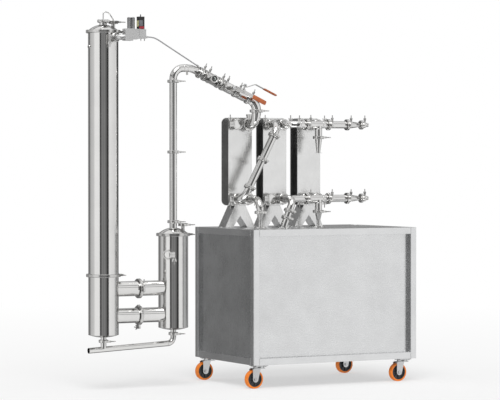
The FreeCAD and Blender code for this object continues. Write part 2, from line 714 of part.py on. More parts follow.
def crossover():
    """The diagonal tube from exchanger 1's low left port to exchanger 2's top left port."""
    low, high = port(1, -1, -1), port(2, -1, 1)
    corner_low = V(low.x, CROSSOVER_Y, low.z)
    corner_high = V(high.x, CROSSOVER_Y, high.z)
    slant = corner_high - corner_low
    j1 = along(corner_low, corner_high, ELBOW_RADIUS + TANGENT)
    j2 = along(corner_low, corner_high, CROSSOVER_MID)
    j3 = along(corner_high, corner_low, ELBOW_RADIUS + TANGENT)
    add("crossover_pipes", pipe([low, corner_low, j1], LINE_2), pipe([j1, j2], LINE_2),
        pipe([j2, j3], LINE_2), pipe([j3, corner_high, high], LINE_2))
    clamp(low, BACK, LINE_2, DOWN, LEFT)
    clamp(high, BACK, LINE_2, UP, LEFT)
    for j in (j1, j2, j3):
        clamp(j, slant, LINE_2, V(-slant.z, 0, slant.x))


def deck_drops():
    """The two tubes from the low right ports of exchangers 1 and 2 down into the deck."""
    start = port(1, 1, -1)
    corner = V(start.x, DROP_1_Y, start.z)
    joint = corner - UP * (ELBOW_RADIUS + TANGENT)
    add("deck_drops", pipe([start, corner, joint], LINE_2), reduced_drop(joint))
    clamp(start, BACK, LINE_2, DOWN, RIGHT)
    clamp(joint, UP, LINE_2, LEFT)

    start = port(2, 1, -1)
    corner = V(start.x, DROP_2_Y, start.z)
    lean = math.radians(DROP_2_LEAN)
    down = V(-math.sin(lean), 0, -math.cos(lean))
    first = corner + down * (ELBOW_RADIUS + TANGENT)
    second = first + down * DROP_2_SECOND_JOINT
    end = corner + down * ((corner.z - DECK_Z) / math.cos(lean) + 30)
    half = GASKET_THICK / 2
    ends = (start - BACK * half, corner, first - down * half)
    tee = V(start.x, CROSSOVER_Y, start.z)
    side_tube, side_bore = branch(tee, V(MANIFOLD_JOINTS[0], CROSSOVER_Y, start.z), LINE_2)
    ferrules = [ferrule(ends[0], BACK, LINE_2), ferrule(ends[2], down, LINE_2)]
    upper = bent_core(*ends, DROP_2_BEND, LINE_2.r).fuse([side_tube] + ferrules)
    upper = upper.cut(bent_core(*ends, DROP_2_BEND, LINE_2.bore, FERRULE_THICK)).cut(side_bore)
    spool = pipe([first, second], LINE_2)
    foot = corner + down * ((corner.z - DECK_Z) / math.cos(lean))
    outer = rod(second + down * (GASKET_THICK / 2), end, LINE_2.r)
    top_ferrule = ferrule(second + down * (GASKET_THICK / 2), down * -1, LINE_2)
    bore = rod(second, end + down * 5, LINE_2.bore)
    flange = Part.makeCylinder(DECK_FLANGE / 2, DECK_FLANGE_THICK, foot)
    lower = outer.fuse([top_ferrule, flange]).cut(bore)
    lower = lower.common(box(0, CABINET_LENGTH, 0, CABINET_DEPTH, DECK_Z, PORT_TOP_Z))
    add("deck_drops", upper, spool, lower)
    clamp(start, BACK, LINE_2, DOWN, RIGHT)
    clamp(first, down, LINE_2, LEFT)
    clamp(second, down, LINE_2, LEFT)


def reduced_drop(joint):
    """A cone from 2 in to 1 in under a joint, then a tube into a deck flange."""
    top = joint - UP * (GASKET_THICK / 2)
    neck = top - UP * DROP_CONE
    foot = V(joint.x, joint.y, DECK_Z)
    return joined([straight(top, neck, LINE_2, (True, False), LINE_1),
                   straight(neck, foot + UP * DECK_FLANGE_THICK, LINE_1), deck_flange(foot, LINE_1)])


def manifold(node, level, nut):
    """The run from exchanger 2's right port past exchanger 3 to the hose end at the right."""
    start, tee = port(2, 1, level), port(3, -1, level)
    z = start.z
    j1, j2, j3 = [V(x, CROSSOVER_Y, z) for x in MANIFOLD_JOINTS]
    if level > 0:
        add(node, pipe([start, V(start.x, CROSSOVER_Y, z), j1], LINE_2))
        clamp(start, BACK, LINE_2, UP, RIGHT)
    a, b = j1 + RIGHT * (GASKET_THICK / 2), j2 - RIGHT * (GASKET_THICK / 2)
    drop_joint = V(MANIFOLD_DROP_X, CROSSOVER_Y, z - ELBOW_RADIUS - TANGENT)
    back_tube, back_bore = branch(V(tee.x, CROSSOVER_Y, z), tee, LINE_2)
    drop_tube, drop_bore = branch(V(MANIFOLD_DROP_X, CROSSOVER_Y, z), drop_joint, LINE_2)
    outer = [rod(a, b, LINE_2.r), ferrule(a, RIGHT * -1, LINE_2), ferrule(b, RIGHT, LINE_2), back_tube, drop_tube]
    inner = [rod(a - RIGHT, b + RIGHT, LINE_2.bore), back_bore, drop_bore]
    add(node, outer[0].fuse(outer[1:]).cut(inner[0].fuse(inner[1:])))
    add(node, pipe([j2, j3], LINE_2))
    cone_start = j3 + RIGHT * (GASKET_THICK / 2)
    cone_mid = cone_start + RIGHT * (FERRULE_THICK + CLAMP_WIDTH)
    cone_end = cone_mid + RIGHT * MANIFOLD_CONE
    j4 = cone_end + RIGHT * (GASKET_THICK / 2)
    add(node, joined([straight(cone_start, cone_mid, LINE_2, (True, False)),
                      straight(cone_mid, cone_end, LINE_2, (False, True), LINE_1)]))
    add(node, hose_end(j4))
    if level > 0:
        top = drop_joint - UP * (GASKET_THICK / 2)
        add(node, straight(top, top - UP * FREE_CONE_LENGTH, LINE_2, (True, True), LINE_1))
    else:
        add(node, reduced_drop(drop_joint))
    clamp(tee, BACK, LINE_2, UP * level, LEFT)
    for j in (j1, j2, j3):
        clamp(j, RIGHT, LINE_2, nut)
    clamp(j4, RIGHT, LINE_1, nut)
    clamp(drop_joint, UP, LINE_2, RIGHT)


def hose_end(joint):
    """The hose tail at a manifold's end."""
    start = joint + RIGHT * (GASKET_THICK / 2)
    length = MANIFOLD_END_LENGTH
    profile = [(LINE_1.ferrule, 0), (LINE_1.ferrule, LIP_THICK), (LINE_1.r, FERRULE_THICK), (LINE_1.r, 22)]
    for i in range(3):
        z = 22 + i * 10
        profile += [(LINE_1.r + 2.4, z), (LINE_1.r, z + 9)]
    profile += [(LINE_1.r, length), (LINE_1.bore, length), (LINE_1.bore, 0)]
    return place(turned(profile), start, RIGHT)


def blank_caps():
    """Caps on the exchanger ports that carry no tube."""
    for number, side, level in ((1, -1, 1), (2, -1, -1), (3, 1, 1), (3, 1, -1)):
        joint = port(number, side, level)
        add("blank_caps", cap(joint, V(0, -1, 0), LINE_2))
        clamp(joint, BACK, LINE_2, UP * level, RIGHT * side)


def line_frame():
    """Start of the inclined line, its direction down to the right, and its upward normal."""
    slope = math.radians(LINE_SLOPE)
    direction = V(math.cos(slope), 0, -math.sin(slope))
    normal = V(math.sin(slope), 0, math.cos(slope))
    riser = port(1, 1, 1)
    elbow_start_x = riser.x - ELBOW_RADIUS * (1 - math.sin(slope))
    riser_joint_z = riser.z + ELBOW_RADIUS + TANGENT
    elbow_start_z = riser_joint_z + TANGENT / 2 + ELBOW_RADIUS * math.cos(slope)
    ring_x = VESSEL_X + ELBOW_RADIUS + GOOSENECK_FLAT
    start_x = ring_x + SECOND_BEND_RADIUS * math.sin(slope)
    length = (elbow_start_x - start_x) / math.cos(slope)
    end = V(elbow_start_x, VAPOUR_Y, elbow_start_z)
    return end - direction * length, direction, normal, length


def vapour_line():
    """Riser from exchanger 1, inclined line, sight glass, two valves, gooseneck, down pipes."""
    start, direction, normal, length = line_frame()
    riser = port(1, 1, 1)
    corner = V(riser.x, VAPOUR_Y, riser.z)
    riser_joint = corner + UP * (ELBOW_RADIUS + TANGENT)
    joints = [start + direction * s for s in LINE_JOINTS]
    valve_1_end = joints[-1] + direction * VALVE_FACE
    valve_2_end = valve_1_end + direction * VALVE_FACE
    elbow_start = start + direction * length

    add("vapour_elbows", pipe([riser, corner, riser_joint], LINE_25))
    clamp(riser, BACK, LINE_25, RIGHT, UP)
    clamp(riser_joint, UP, LINE_25, RIGHT)
    slope_gap = (corner.x - elbow_start.x) / direction.x
    bend_corner = elbow_start + direction * slope_gap
    cone_from = valve_2_end + direction * (GASKET_THICK / 2)
    cone_to = elbow_start - direction * 2
    upper = pipe([riser_joint, bend_corner, cone_to], LINE_25, (True, False))
    add("vapour_elbows", joined([upper, straight(cone_from, cone_to, LINE_2, (True, False), LINE_25)]))

    for j in joints + [valve_1_end, valve_2_end]:
        clamp(j, direction, LINE_2, normal)
    add("vapour_elbows", pipe([joints[0], joints[1]], LINE_2), pipe([joints[2], joints[3]], LINE_2))
    sight_glass(joints[1], joints[2], direction, normal)
    ball_valve(1, joints[3], direction, V(0, -1, 0))
    ball_valve(2, valve_1_end, direction, normal)
    gooseneck(start, direction, joints[0])


def gooseneck(line_start, direction, first_joint):
    """The bend from the vessel's down pipe into the inclined line, with a small sensor."""
    slope = math.radians(LINE_SLOPE)
    crest_z = line_start.z + SECOND_BEND_RADIUS * (1 - math.cos(slope))
    low_z = crest_z - ELBOW_RADIUS - TANGENT
    low = V(VESSEL_X, VAPOUR_Y, low_z)
    ring_at = V(VESSEL_X + ELBOW_RADIUS + GOOSENECK_FLAT, VAPOUR_Y, crest_z)
    rise = pipe([low, V(VESSEL_X, VAPOUR_Y, crest_z), ring_at], LINE_2, (True, False))
    arc, end = bend(ring_at, RIGHT, direction, SECOND_BEND_RADIUS, LINE_2.r, LINE_2.bore)
    last = straight(end, first_joint - direction * (GASKET_THICK / 2), LINE_2, (False, True))
    inner, outer, half = LINE_2.r - TUBE_WALL / 2, LINE_2.r + WELD_RING, WELD_RING_WIDTH / 2
    ring = place(turned([(inner, -half), (outer, -half), (outer, half), (inner, half)]), ring_at, RIGHT)
    nub = rod(ring_at - UP * (LINE_2.r - 0.5), ring_at - UP * (LINE_2.r + NUB_LENGTH), NUB_DIAMETER / 2)
    add("gooseneck", joined([rise, arc, last, ring, nub] + probe()))
    clamp(low, UP, LINE_2, RIGHT)

    middle = V(VESSEL_X, VAPOUR_Y, DOWN_PIPE_MID_Z)
    bottom = V(VESSEL_X, VAPOUR_Y, VESSEL_PORT_Z)
    add("down_pipes", pipe([low, middle], LINE_2), pipe([middle, bottom], LINE_2))
    clamp(middle, UP, LINE_2, RIGHT)
    clamp(bottom, UP, LINE_2, RIGHT)


def sight_glass(start, end, direction, normal):
    """A stout body with a round window at the front and one at the back."""
    a, b = start + direction * (GASKET_THICK / 2), end - direction * (GASKET_THICK / 2)
    shift = direction * (FERRULE_THICK + CLAMP_WIDTH / 2 + 1)
    outer = [rod(a, b, LINE_2.r), ferrule(a, direction * -1, LINE_2), ferrule(b, direction, LINE_2),
             rod(a + shift, b - shift, SIGHT_BODY_OD / 2)]
    middle = (a + b) * 0.5
    boss = SIGHT_WINDOW_OD / 2 + 9
    reach = SIGHT_BODY_OD / 2 + 10
    outer.append(rod(middle - BACK * reach, middle + BACK * reach, boss))
    seat = reach - SIGHT_WINDOW_THICK
    body = outer[0].fuse(outer[1:]).cut(rod(a - direction, b + direction, LINE_2.bore))
    window_r = SIGHT_WINDOW_OD / 2
    body = body.cut(rod(middle - BACK * (reach + 1), middle + BACK * (reach + 1), window_r - 4))
    for side in (-1, 1):
        pocket = rod(middle + BACK * (side * seat), middle + BACK * (side * (reach + 1)), window_r)
        body = body.cut(pocket)
        glass = rod(middle + BACK * (side * seat), middle + BACK * (side * (reach - GLASS_INSET)),
                    window_r - FACE_GAP)
        add("sight_glass_window", glass)
    add("sight_glass_body", body)


def ball_valve(number, start, direction, stem):
    """A ball valve from a joint along direction; its stem points along stem."""
    a = start + direction * (GASKET_THICK / 2)
    b = start + direction * (VALVE_FACE - GASKET_THICK / 2)
    middle = (a + b) * 0.5
    side = VALVE_BODY / 2
    neck = CLAMP_WIDTH / 2 + FERRULE_THICK
    block = box(-side, side, -side, side, -side - 2, side + 2)
    edges = [e for e in block.Edges if abs(e.tangentAt(e.FirstParameter).z) > 0.99]
    block = place(block.makeFillet(VALVE_CORNER, edges), middle, direction, stem)
    outer = [block, rod(a, b, LINE_2.r), ferrule(a, direction * -1, LINE_2), ferrule(b, direction, LINE_2)]
    bonnet_top = side + 14
    outer.append(rod(middle, middle + stem * bonnet_top, STEM_DIAMETER / 2 + 8))
    body = outer[0].fuse(outer[1:])
    body = body.cut(rod(a - direction * neck, b + direction * neck, VALVE_BORE / 2))
    seat = Part.makeSphere(VALVE_BALL / 2 + FACE_GAP, middle)
    body = body.cut(seat).cut(rod(middle, middle + stem * (bonnet_top + 1), STEM_DIAMETER / 2 + RUNNING_GAP))
    add("valve_%d_body" % number, body)

    ball = Part.makeSphere(VALVE_BALL / 2, middle).cut(
        rod(middle - direction * VALVE_BALL, middle + direction * VALVE_BALL, VALVE_BORE / 2))
    shaft_top = middle + stem * (STEM_HEIGHT + LEVER_THICK + 8)
    shaft = rod(middle + stem * (VALVE_BALL / 2 - 4), shaft_top, STEM_DIAMETER / 2)
    add("valve_%d_stem" % number, ball.fuse(shaft))
    lever, grip = lever_parts()
    at = middle + stem * STEM_HEIGHT
    add("valve_%d_lever" % number, place(lever, at, stem, direction))
    add("valve_%d_grip" % number, place(grip, at, stem, direction))


def strap(points, width, thick):
    """A flat strap in the XZ plane following points, centred on Y = 0."""
    lower = [V(x, -width / 2, z) for x, z in points]
    upper = [V(x, -width / 2, z + thick) for x, z in reversed(points)]
    return Part.Face(Part.makePolygon(lower + upper + [lower[0]])).extrude(V(0, width, 0))


def lever_parts():
    """The cranked lever and its grip, from the stem along +X, with the stem along +Z."""
    end = LEVER_LENGTH - 8
    crank_start = LEVER_WIDTH / 2 + 6
    lever = strap([(-LEVER_WIDTH / 2, 0), (crank_start, 0), (LEVER_CRANK_RUN, LEVER_CRANK), (end, LEVER_CRANK)],
                  LEVER_WIDTH, LEVER_THICK)
    hub = Part.makeCylinder(STEM_DIAMETER / 2 + 6, LEVER_THICK + 4)
    lever = lever.fuse(hub).cut(Part.makeCylinder(STEM_DIAMETER / 2, LEVER_CRANK, V(0, 0, -1)))
    grip_start = LEVER_LENGTH - GRIP_LENGTH
    spare = (GRIP_THICK - LEVER_THICK) / 2
    grip = box(grip_start, LEVER_LENGTH, -GRIP_WIDTH / 2, GRIP_WIDTH / 2, LEVER_CRANK - spare,
               LEVER_CRANK + LEVER_THICK + spare)
    edges = [e for e in grip.Edges if abs(e.tangentAt(e.FirstParameter).x) > 0.99]
    grip = grip.makeFillet(spare, edges)
    slot = box(grip_start - 1, end, -LEVER_WIDTH / 2, LEVER_WIDTH / 2, LEVER_CRANK, LEVER_CRANK + LEVER_THICK)
    return lever, grip.cut(slot)


def bottom_head(axis_x, z, drain_z):
    """Filled outer and inner of a dished bottom with its drain stub, below z."""
    dish = dished_head(LINE_8.r, DISH_HEIGHT, SHELL_WALL)
    dish = dish.mirror(V(0, 0, 0), UP)
    hole = Part.makeCylinder(LINE_15.bore, DISH_HEIGHT * 3, V(0, 0, -DISH_HEIGHT * 3))
    low = z - LID_SKIRT - DISH_HEIGHT
    dish.translate(V(axis_x, VAPOUR_Y, z))
    hole.translate(V(axis_x, VAPOUR_Y, z))
    stub_end = V(axis_x, VAPOUR_Y, drain_z + GASKET_THICK / 2)
    stub_top = V(axis_x, VAPOUR_Y, low + SHELL_WALL)
    stub = straight(stub_end, stub_top, LINE_15, (True, False))
    return dish.cut(hole).fuse(stub)


def level_tubes(shell, axis_x):
    """Adds the two 4 in level tubes to a shell, each to the joint midway to the other."""
    joint_x = (COLUMN_X + VESSEL_X) / 2
    for z in CROSS_TUBE_ZS:
        outer, bore = branch(V(axis_x, VAPOUR_Y, z), V(joint_x, VAPOUR_Y, z), LINE_4)
        keep_out = Part.makeCylinder(LINE_8.bore, TUBE_4_OD * 2, V(axis_x, VAPOUR_Y, z - TUBE_4_OD))
        shell = shell.fuse(outer.cut(keep_out)).cut(bore)
    return shell


def vessel():
    """The vapour vessel with dished bottom, lid, front port and level tubes."""
    base = V(VESSEL_X, VAPOUR_Y, VESSEL_BOTTOM_Z)
    top = V(VESSEL_X, VAPOUR_Y, VESSEL_TOP_Z - GASKET_THICK / 2)
    shell = straight(base, top, LINE_8, (False, True)).fuse(bottom_head(VESSEL_X, VESSEL_BOTTOM_Z, VESSEL_DRAIN_Z))
    shell = level_tubes(shell, VESSEL_X)
    toward = V(-1, -1, 0).normalize()
    center = V(VESSEL_X, VAPOUR_Y, FRONT_PORT_Z)
    joint = center + toward * (LINE_8.r + NOZZLE_REACH)
    stub, bore = branch(center, joint, LINE_15)
    keep_out = Part.makeCylinder(LINE_8.bore, 2 * LINE_8.bore, center - UP * LINE_8.bore)
    shell = shell.fuse(stub.cut(keep_out)).cut(bore)
    add("vessel_shell", shell)
    add("blank_caps", cap(joint, toward, LINE_15))
    clamp(joint, toward, LINE_15, DOWN)
    lid("vessel_lid", VESSEL_X, VESSEL_TOP_Z, VESSEL_PORT_Z, VESSEL_SIDE_PORT_Z, LINE_2)


def lid(node, x, joint_z, port_z, side_port_z, line):
    """A domed lid on an 8 in joint with a centre port and a smaller one to its right."""
    head = dished_head(LINE_8.r, LID_HEIGHT, SHELL_WALL, LINE_8.ferrule)
    head.translate(V(x, VAPOUR_Y, joint_z + GASKET_THICK / 2))
    for at, tube in ((V(x, VAPOUR_Y, port_z), line), (V(x + SIDE_PORT_OFFSET, VAPOUR_Y, side_port_z), LINE_1)):
        low = V(at.x, at.y, joint_z + LID_HEIGHT * 0.3)
        outer, bore = branch(low, at, tube)
        sphere = (LINE_8.r ** 2 + LID_HEIGHT ** 2) / (2 * LID_HEIGHT)
        ball_z = joint_z + GASKET_THICK / 2 + LID_SKIRT + LID_HEIGHT - sphere
        outer = outer.cut(Part.makeSphere(sphere - SHELL_WALL / 2, V(x, VAPOUR_Y, ball_z)))
        head = head.fuse(outer).cut(bore)
    add(node, head)
    clamp(V(x + SIDE_PORT_OFFSET, VAPOUR_Y, side_port_z), UP, LINE_1, RIGHT)
    clamp(V(x, VAPOUR_Y, joint_z), UP, LINE_8, FRONT, RIGHT, "large_clamps")


def column():
    """The condenser column: lower and upper shells, tube bundle, lid and level tubes."""
    base = V(COLUMN_X, VAPOUR_Y, COLUMN_BOTTOM_Z)
    joint = V(COLUMN_X, VAPOUR_Y, COLUMN_JOINT_Z)
    top = V(COLUMN_X, VAPOUR_Y, COLUMN_TOP_Z)
    half = UP * (GASKET_THICK / 2)
    lower = straight(base, joint - half, LINE_8, (False, True)).fuse(
        bottom_head(COLUMN_X, COLUMN_BOTTOM_Z, COLUMN_DRAIN_Z))
    add("column_lower_shell", level_tubes(lower, COLUMN_X))
    clamp(joint, UP, LINE_8, FRONT, RIGHT, "large_clamps")
    mid_x = (COLUMN_X + VESSEL_X) / 2
    low_z, high_z = CROSS_TUBE_ZS
    clamp(V(mid_x, VAPOUR_Y, low_z), RIGHT, LINE_4, BACK, DOWN, "large_clamps")
    clamp(V(mid_x, VAPOUR_Y, high_z), RIGHT, LINE_4, UP, FRONT, "large_clamps")

    upper = straight(joint + half, top - half, LINE_8, (True, True))
    toward = nozzle_direction()
    center = V(COLUMN_X, VAPOUR_Y, NOZZLE_Z)
    stub, bore = branch(center, nozzle_joint(), LINE_15)
    keep_out = Part.makeCylinder(LINE_8.bore, 2 * LINE_8.bore, center - UP * LINE_8.bore)
    upper = upper.fuse(stub.cut(keep_out)).cut(bore)
    lug_at = V(COLUMN_X - LINE_8.r - LUG_LENGTH + 1, VAPOUR_Y, LUG_Z)
    upper = upper.fuse(rod(lug_at, lug_at + RIGHT * LUG_LENGTH, LUG_DIAMETER / 2))
    add("column_upper_shell", upper)
    lid("column_lid", COLUMN_X, COLUMN_TOP_Z, COLUMN_PORT_Z, COLUMN_PORT_Z - SIDE_CAP_DROP, LINE_2)
    clamp(V(COLUMN_X, VAPOUR_Y, COLUMN_PORT_Z), UP, LINE_2, LEFT)
    for at, line in ((V(COLUMN_X, VAPOUR_Y, COLUMN_PORT_Z), LINE_2),
                     (V(COLUMN_X + SIDE_PORT_OFFSET, VAPOUR_Y, COLUMN_PORT_Z - SIDE_CAP_DROP), LINE_1)):
        add("blank_caps", cap(at, UP, line))
    add("blank_caps", cap(V(VESSEL_X + SIDE_PORT_OFFSET, VAPOUR_Y, VESSEL_SIDE_PORT_Z), UP, LINE_1))
    tube_bundle()


def tube_bundle():
    """Two tubesheets inside the upper shell and the tubes between them."""
    low = COLUMN_JOINT_Z + CLAMP_WIDTH
    high = NOZZLE_Z - LINE_15.r - CLAMP_WIDTH
    radius = LINE_8.bore - FACE_GAP
    places = [(0.0, 0.0)]
    for ring in (1, 2):
        for i in range(6 * ring):
            corner, step = divmod(i, ring)
            a, b = math.radians(60 * corner), math.radians(60 * (corner + 2))
            places.append((BUNDLE_PITCH * (ring * math.cos(a) + step * math.cos(b)),
                           BUNDLE_PITCH * (ring * math.sin(a) + step * math.sin(b))))
    sheets = [Part.makeCylinder(radius, TUBESHEET_THICK, V(0, 0, z)) for z in (low, high - TUBESHEET_THICK)]
    tubes = [Part.makeCylinder(BUNDLE_TUBE_OD / 2, high - low, V(x, y, low)) for x, y in places]
    bores = [Part.makeCylinder(BUNDLE_TUBE_OD / 2 - BUNDLE_TUBE_WALL, high - low, V(x, y, low)) for x, y in places]
    bundle = sheets[0].fuse(sheets[1:] + tubes).cut(bores)
    bundle.translate(V(COLUMN_X, VAPOUR_Y, 0))
    add("tube_bundle", bundle)


def header_z(x):
    return HEADER_START_Z + (x - VESSEL_X) * HEADER_FALL


def drain_header():
    """The sloping drain tube under the vessel and the column, open at its left end."""
    start = V(VESSEL_X, VAPOUR_Y, VESSEL_DRAIN_Z)
    corner = V(VESSEL_X, VAPOUR_Y, HEADER_START_Z)
    end = V(HEADER_END_X, VAPOUR_Y, header_z(HEADER_END_X))
    header = pipe([start, corner, end], LINE_15, (True, False), HEADER_BEND)
    tee = V(COLUMN_X, VAPOUR_Y, header_z(COLUMN_X))
    joint = V(COLUMN_X, VAPOUR_Y, COLUMN_DRAIN_Z)
    stub, bore = branch(tee, joint, LINE_15)
    way = (end - corner).normalize()
    stub = stub.cut(rod(tee - way * 60, tee + way * 60, LINE_15.bore))
    add("drain_header", header.fuse(stub).cut(bore))
    clamp(start, UP, LINE_15, RIGHT)
    clamp(joint, UP, LINE_15, RIGHT)


def nozzle_direction():
    a = math.radians(NOZZLE_ANGLE)
    return V(math.cos(a), math.sin(a), 0)


def nozzle_joint():
    return V(COLUMN_X, VAPOUR_Y, NOZZLE_Z) + nozzle_direction() * (LINE_8.r + NOZZLE_REACH)


def control_unit():
    """Nozzle elbow, valve block with actuator, coil box, control box, junction box and gland."""
    joint = nozzle_joint()
    toward = nozzle_direction()
    clamp(joint, toward, LINE_15, DOWN, LEFT)
    corner = joint + toward * ((CONTROL_Y - joint.y) / toward.y)
    block_x0, coil_x0, junction_x0, junction_x1 = CONTROL_XS
    elbow = pipe([joint, corner, V(block_x0, CONTROL_Y, NOZZLE_Z)], LINE_15, (True, False), NOZZLE_BEND)

    def on_axis(x0, x1, depth, z0, z1):
        return box(x0, x1, CONTROL_Y - depth / 2, CONTROL_Y + depth / 2, z0, z1)
    block = on_axis(block_x0, coil_x0, VALVE_BLOCK, NOZZLE_Z - VALVE_BLOCK / 2, CONTROL_TOP_Z)
    base = V(ACTUATOR_X, CONTROL_Y, CONTROL_TOP_Z)
    body = turned([(0, 0), (ACTUATOR_OD / 2, 0), (ACTUATOR_OD / 2, ACTUATOR_HEIGHT - 4),
                   (ACTUATOR_OD / 2 - 4, ACTUATOR_HEIGHT), (0, ACTUATOR_HEIGHT)])
    add("control_valve", joined([elbow, block, place(body, base)]))

    coil = on_axis(coil_x0, junction_x0, COIL_BOX, CONTROL_TOP_Z - COIL_BOX_HEIGHT, CONTROL_TOP_Z)
    junction_low = CONTROL_TOP_Z - JUNCTION_HEIGHT
    junction = on_axis(junction_x0, junction_x1, JUNCTION_DEPTH, junction_low, CONTROL_TOP_Z)
    gland = turned([(0, 0), (GLAND_DIAMETER / 2 + 2, 0), (GLAND_DIAMETER / 2 + 2, 6), (GLAND_DIAMETER / 2, 8),
                    (CABLE_DIAMETER / 2 + GLAND_MOUTH, GLAND_LENGTH), (0, GLAND_LENGTH)])
    gland = place(gland, V(junction_x1, CONTROL_Y, CABLE_POINTS[0].z), RIGHT)
    pins = [rod(V(x, CONTROL_Y, junction_low - PIN_LENGTH), V(x, CONTROL_Y, junction_low), PIN_DIAMETER / 2)
            for x in PIN_XS]
    add("junction_box", joined([coil, junction, gland] + pins))

    box_top = CONTROL_TOP_Z + CONTROL_BOX_HEIGHT
    control = on_axis(CONTROL_BOX_X - CONTROL_BOX_WIDTH / 2, CONTROL_BOX_X + CONTROL_BOX_WIDTH / 2,
                      CONTROL_BOX_DEPTH, CONTROL_TOP_Z, box_top)
    edges = [e for e in control.Edges if abs(e.tangentAt(e.FirstParameter).z) > 0.99]
    stem_at = V(CONTROL_BOX_X, CONTROL_Y, box_top)
    add("control_box", control.makeFillet(4, edges).fuse(rod(stem_at, stem_at + UP * PIN_LENGTH, PIN_DIAMETER / 2)))


def vent_loop():
    """A thin bent tube between the column lid's two caps."""
    r = LOOP_DIAMETER / 2
    foot = V(COLUMN_X, VAPOUR_Y, COLUMN_PORT_Z + GASKET_THICK / 2 + CAP_CROWN)
    other = V(COLUMN_X + SIDE_PORT_OFFSET, VAPOUR_Y, COLUMN_PORT_Z - SIDE_CAP_DROP + GASKET_THICK / 2 + CAP_CROWN)
    peak_z = foot.z + LOOP_HEIGHT
    points = [foot, V(foot.x, foot.y, peak_z), V(foot.x + LOOP_FIRST_RUN, foot.y, peak_z - SIDE_CAP_DROP),
              V(other.x, foot.y, other.z + LOOP_LAST_RISE), other]
    edges, at = [], points[0]
    for i in range(1, len(points) - 1):
        before, here, after = points[i - 1], points[i], points[i + 1]
        go, leave = (here - before).normalize(), (after - here).normalize()
        reach = min((here - before).Length, (after - here).Length) * 0.45
        start, end = here - go * reach, here + leave * reach
        edges.append(Part.LineSegment(at, start).toShape())
        radius = reach / math.tan(go.getAngle(leave) / 2)
        edges.append(arc_edge(start, go, leave, radius))
        at = end
    edges.append(Part.LineSegment(at, points[-1]).toShape())
    wire = Part.Wire(edges)
    profile = Part.Wire(Part.makeCircle(r, points[0], UP))
    add("vent_loop", wire.makePipeShell([profile], True, False))


def arc_edge(start, go, leave, radius):
    """An arc tangent to go at start and to leave at its end."""
    normal = go.cross(leave).normalize()
    center = start + normal.cross(go) * radius
    angle = math.degrees(go.getAngle(leave))
    middle = center + FreeCAD.Rotation(normal, angle / 2).multVec(start - center)
    end = center + FreeCAD.Rotation(normal, angle).multVec(start - center)
    return Part.Arc(start, middle, end).toShape()


# The cable's route, chosen by hand: out of the junction box's gland, then down to the probe
CABLE_POINTS = [V(-672.0, 238.0, 2364.0), V(-640.0, 238.0, 2364.0), V(-594.0, 250.0, 2350.0),
                V(-549.0, 266.0, 2329.0), V(-220.7, 405.4, 2189.8)]


def sensor_cable():
    """The cable; prints its length and bend radii."""
    points = CABLE_POINTS
    edges, at = [], points[0]
    for i in range(1, len(points) - 1):
        before, here, after = points[i - 1], points[i], points[i + 1]
        enter, leave = (here - before).normalize(), (after - here).normalize()
        turn = enter.getAngle(leave)
        reach = min((here - before).Length, (after - here).Length) * 0.45
        radius = reach / math.tan(turn / 2)
        start_arc = here - enter * reach
        edges.append(Part.LineSegment(at, start_arc).toShape())
        edges.append(arc_edge(start_arc, enter, leave, radius))
        print("cable bend", i, "turn %.1f radius %.1f" % (math.degrees(turn), radius))
        at = here + leave * reach
    edges.append(Part.LineSegment(at, points[-1]).toShape())
    wire = Part.Wire(edges)
    profile = Part.Wire(Part.makeCircle(CABLE_DIAMETER / 2, points[0], RIGHT))
    cable = wire.makePipeShell([profile], True, False)
    section = math.pi * CABLE_DIAMETER ** 2 / 4
    print("cable length %.1f, volume ratio %.4f" % (wire.Length, cable.Volume / (section * wire.Length)))
    add("sensor_cable", cable)


def probe():
    """The gland that the cable ends in and the nipple that carries it on the gooseneck."""
    way = (CABLE_POINTS[-1] - CABLE_POINTS[-2]).normalize()
    knee = CABLE_POINTS[-1] + way * PROBE_LENGTH
    r = PROBE_DIAMETER / 2
    line_start, direction = line_frame()[:2]
    bore = rod(line_start - direction * PROBE_DEPTH, line_start + direction * LINE_JOINTS[0], LINE_2.bore)
    return [rod(CABLE_POINTS[-1], knee, r), Part.makeSphere(r + FACE_GAP, knee),
            rod(knee, knee - UP * PROBE_DEPTH, r - FACE_GAP).cut(bore)]


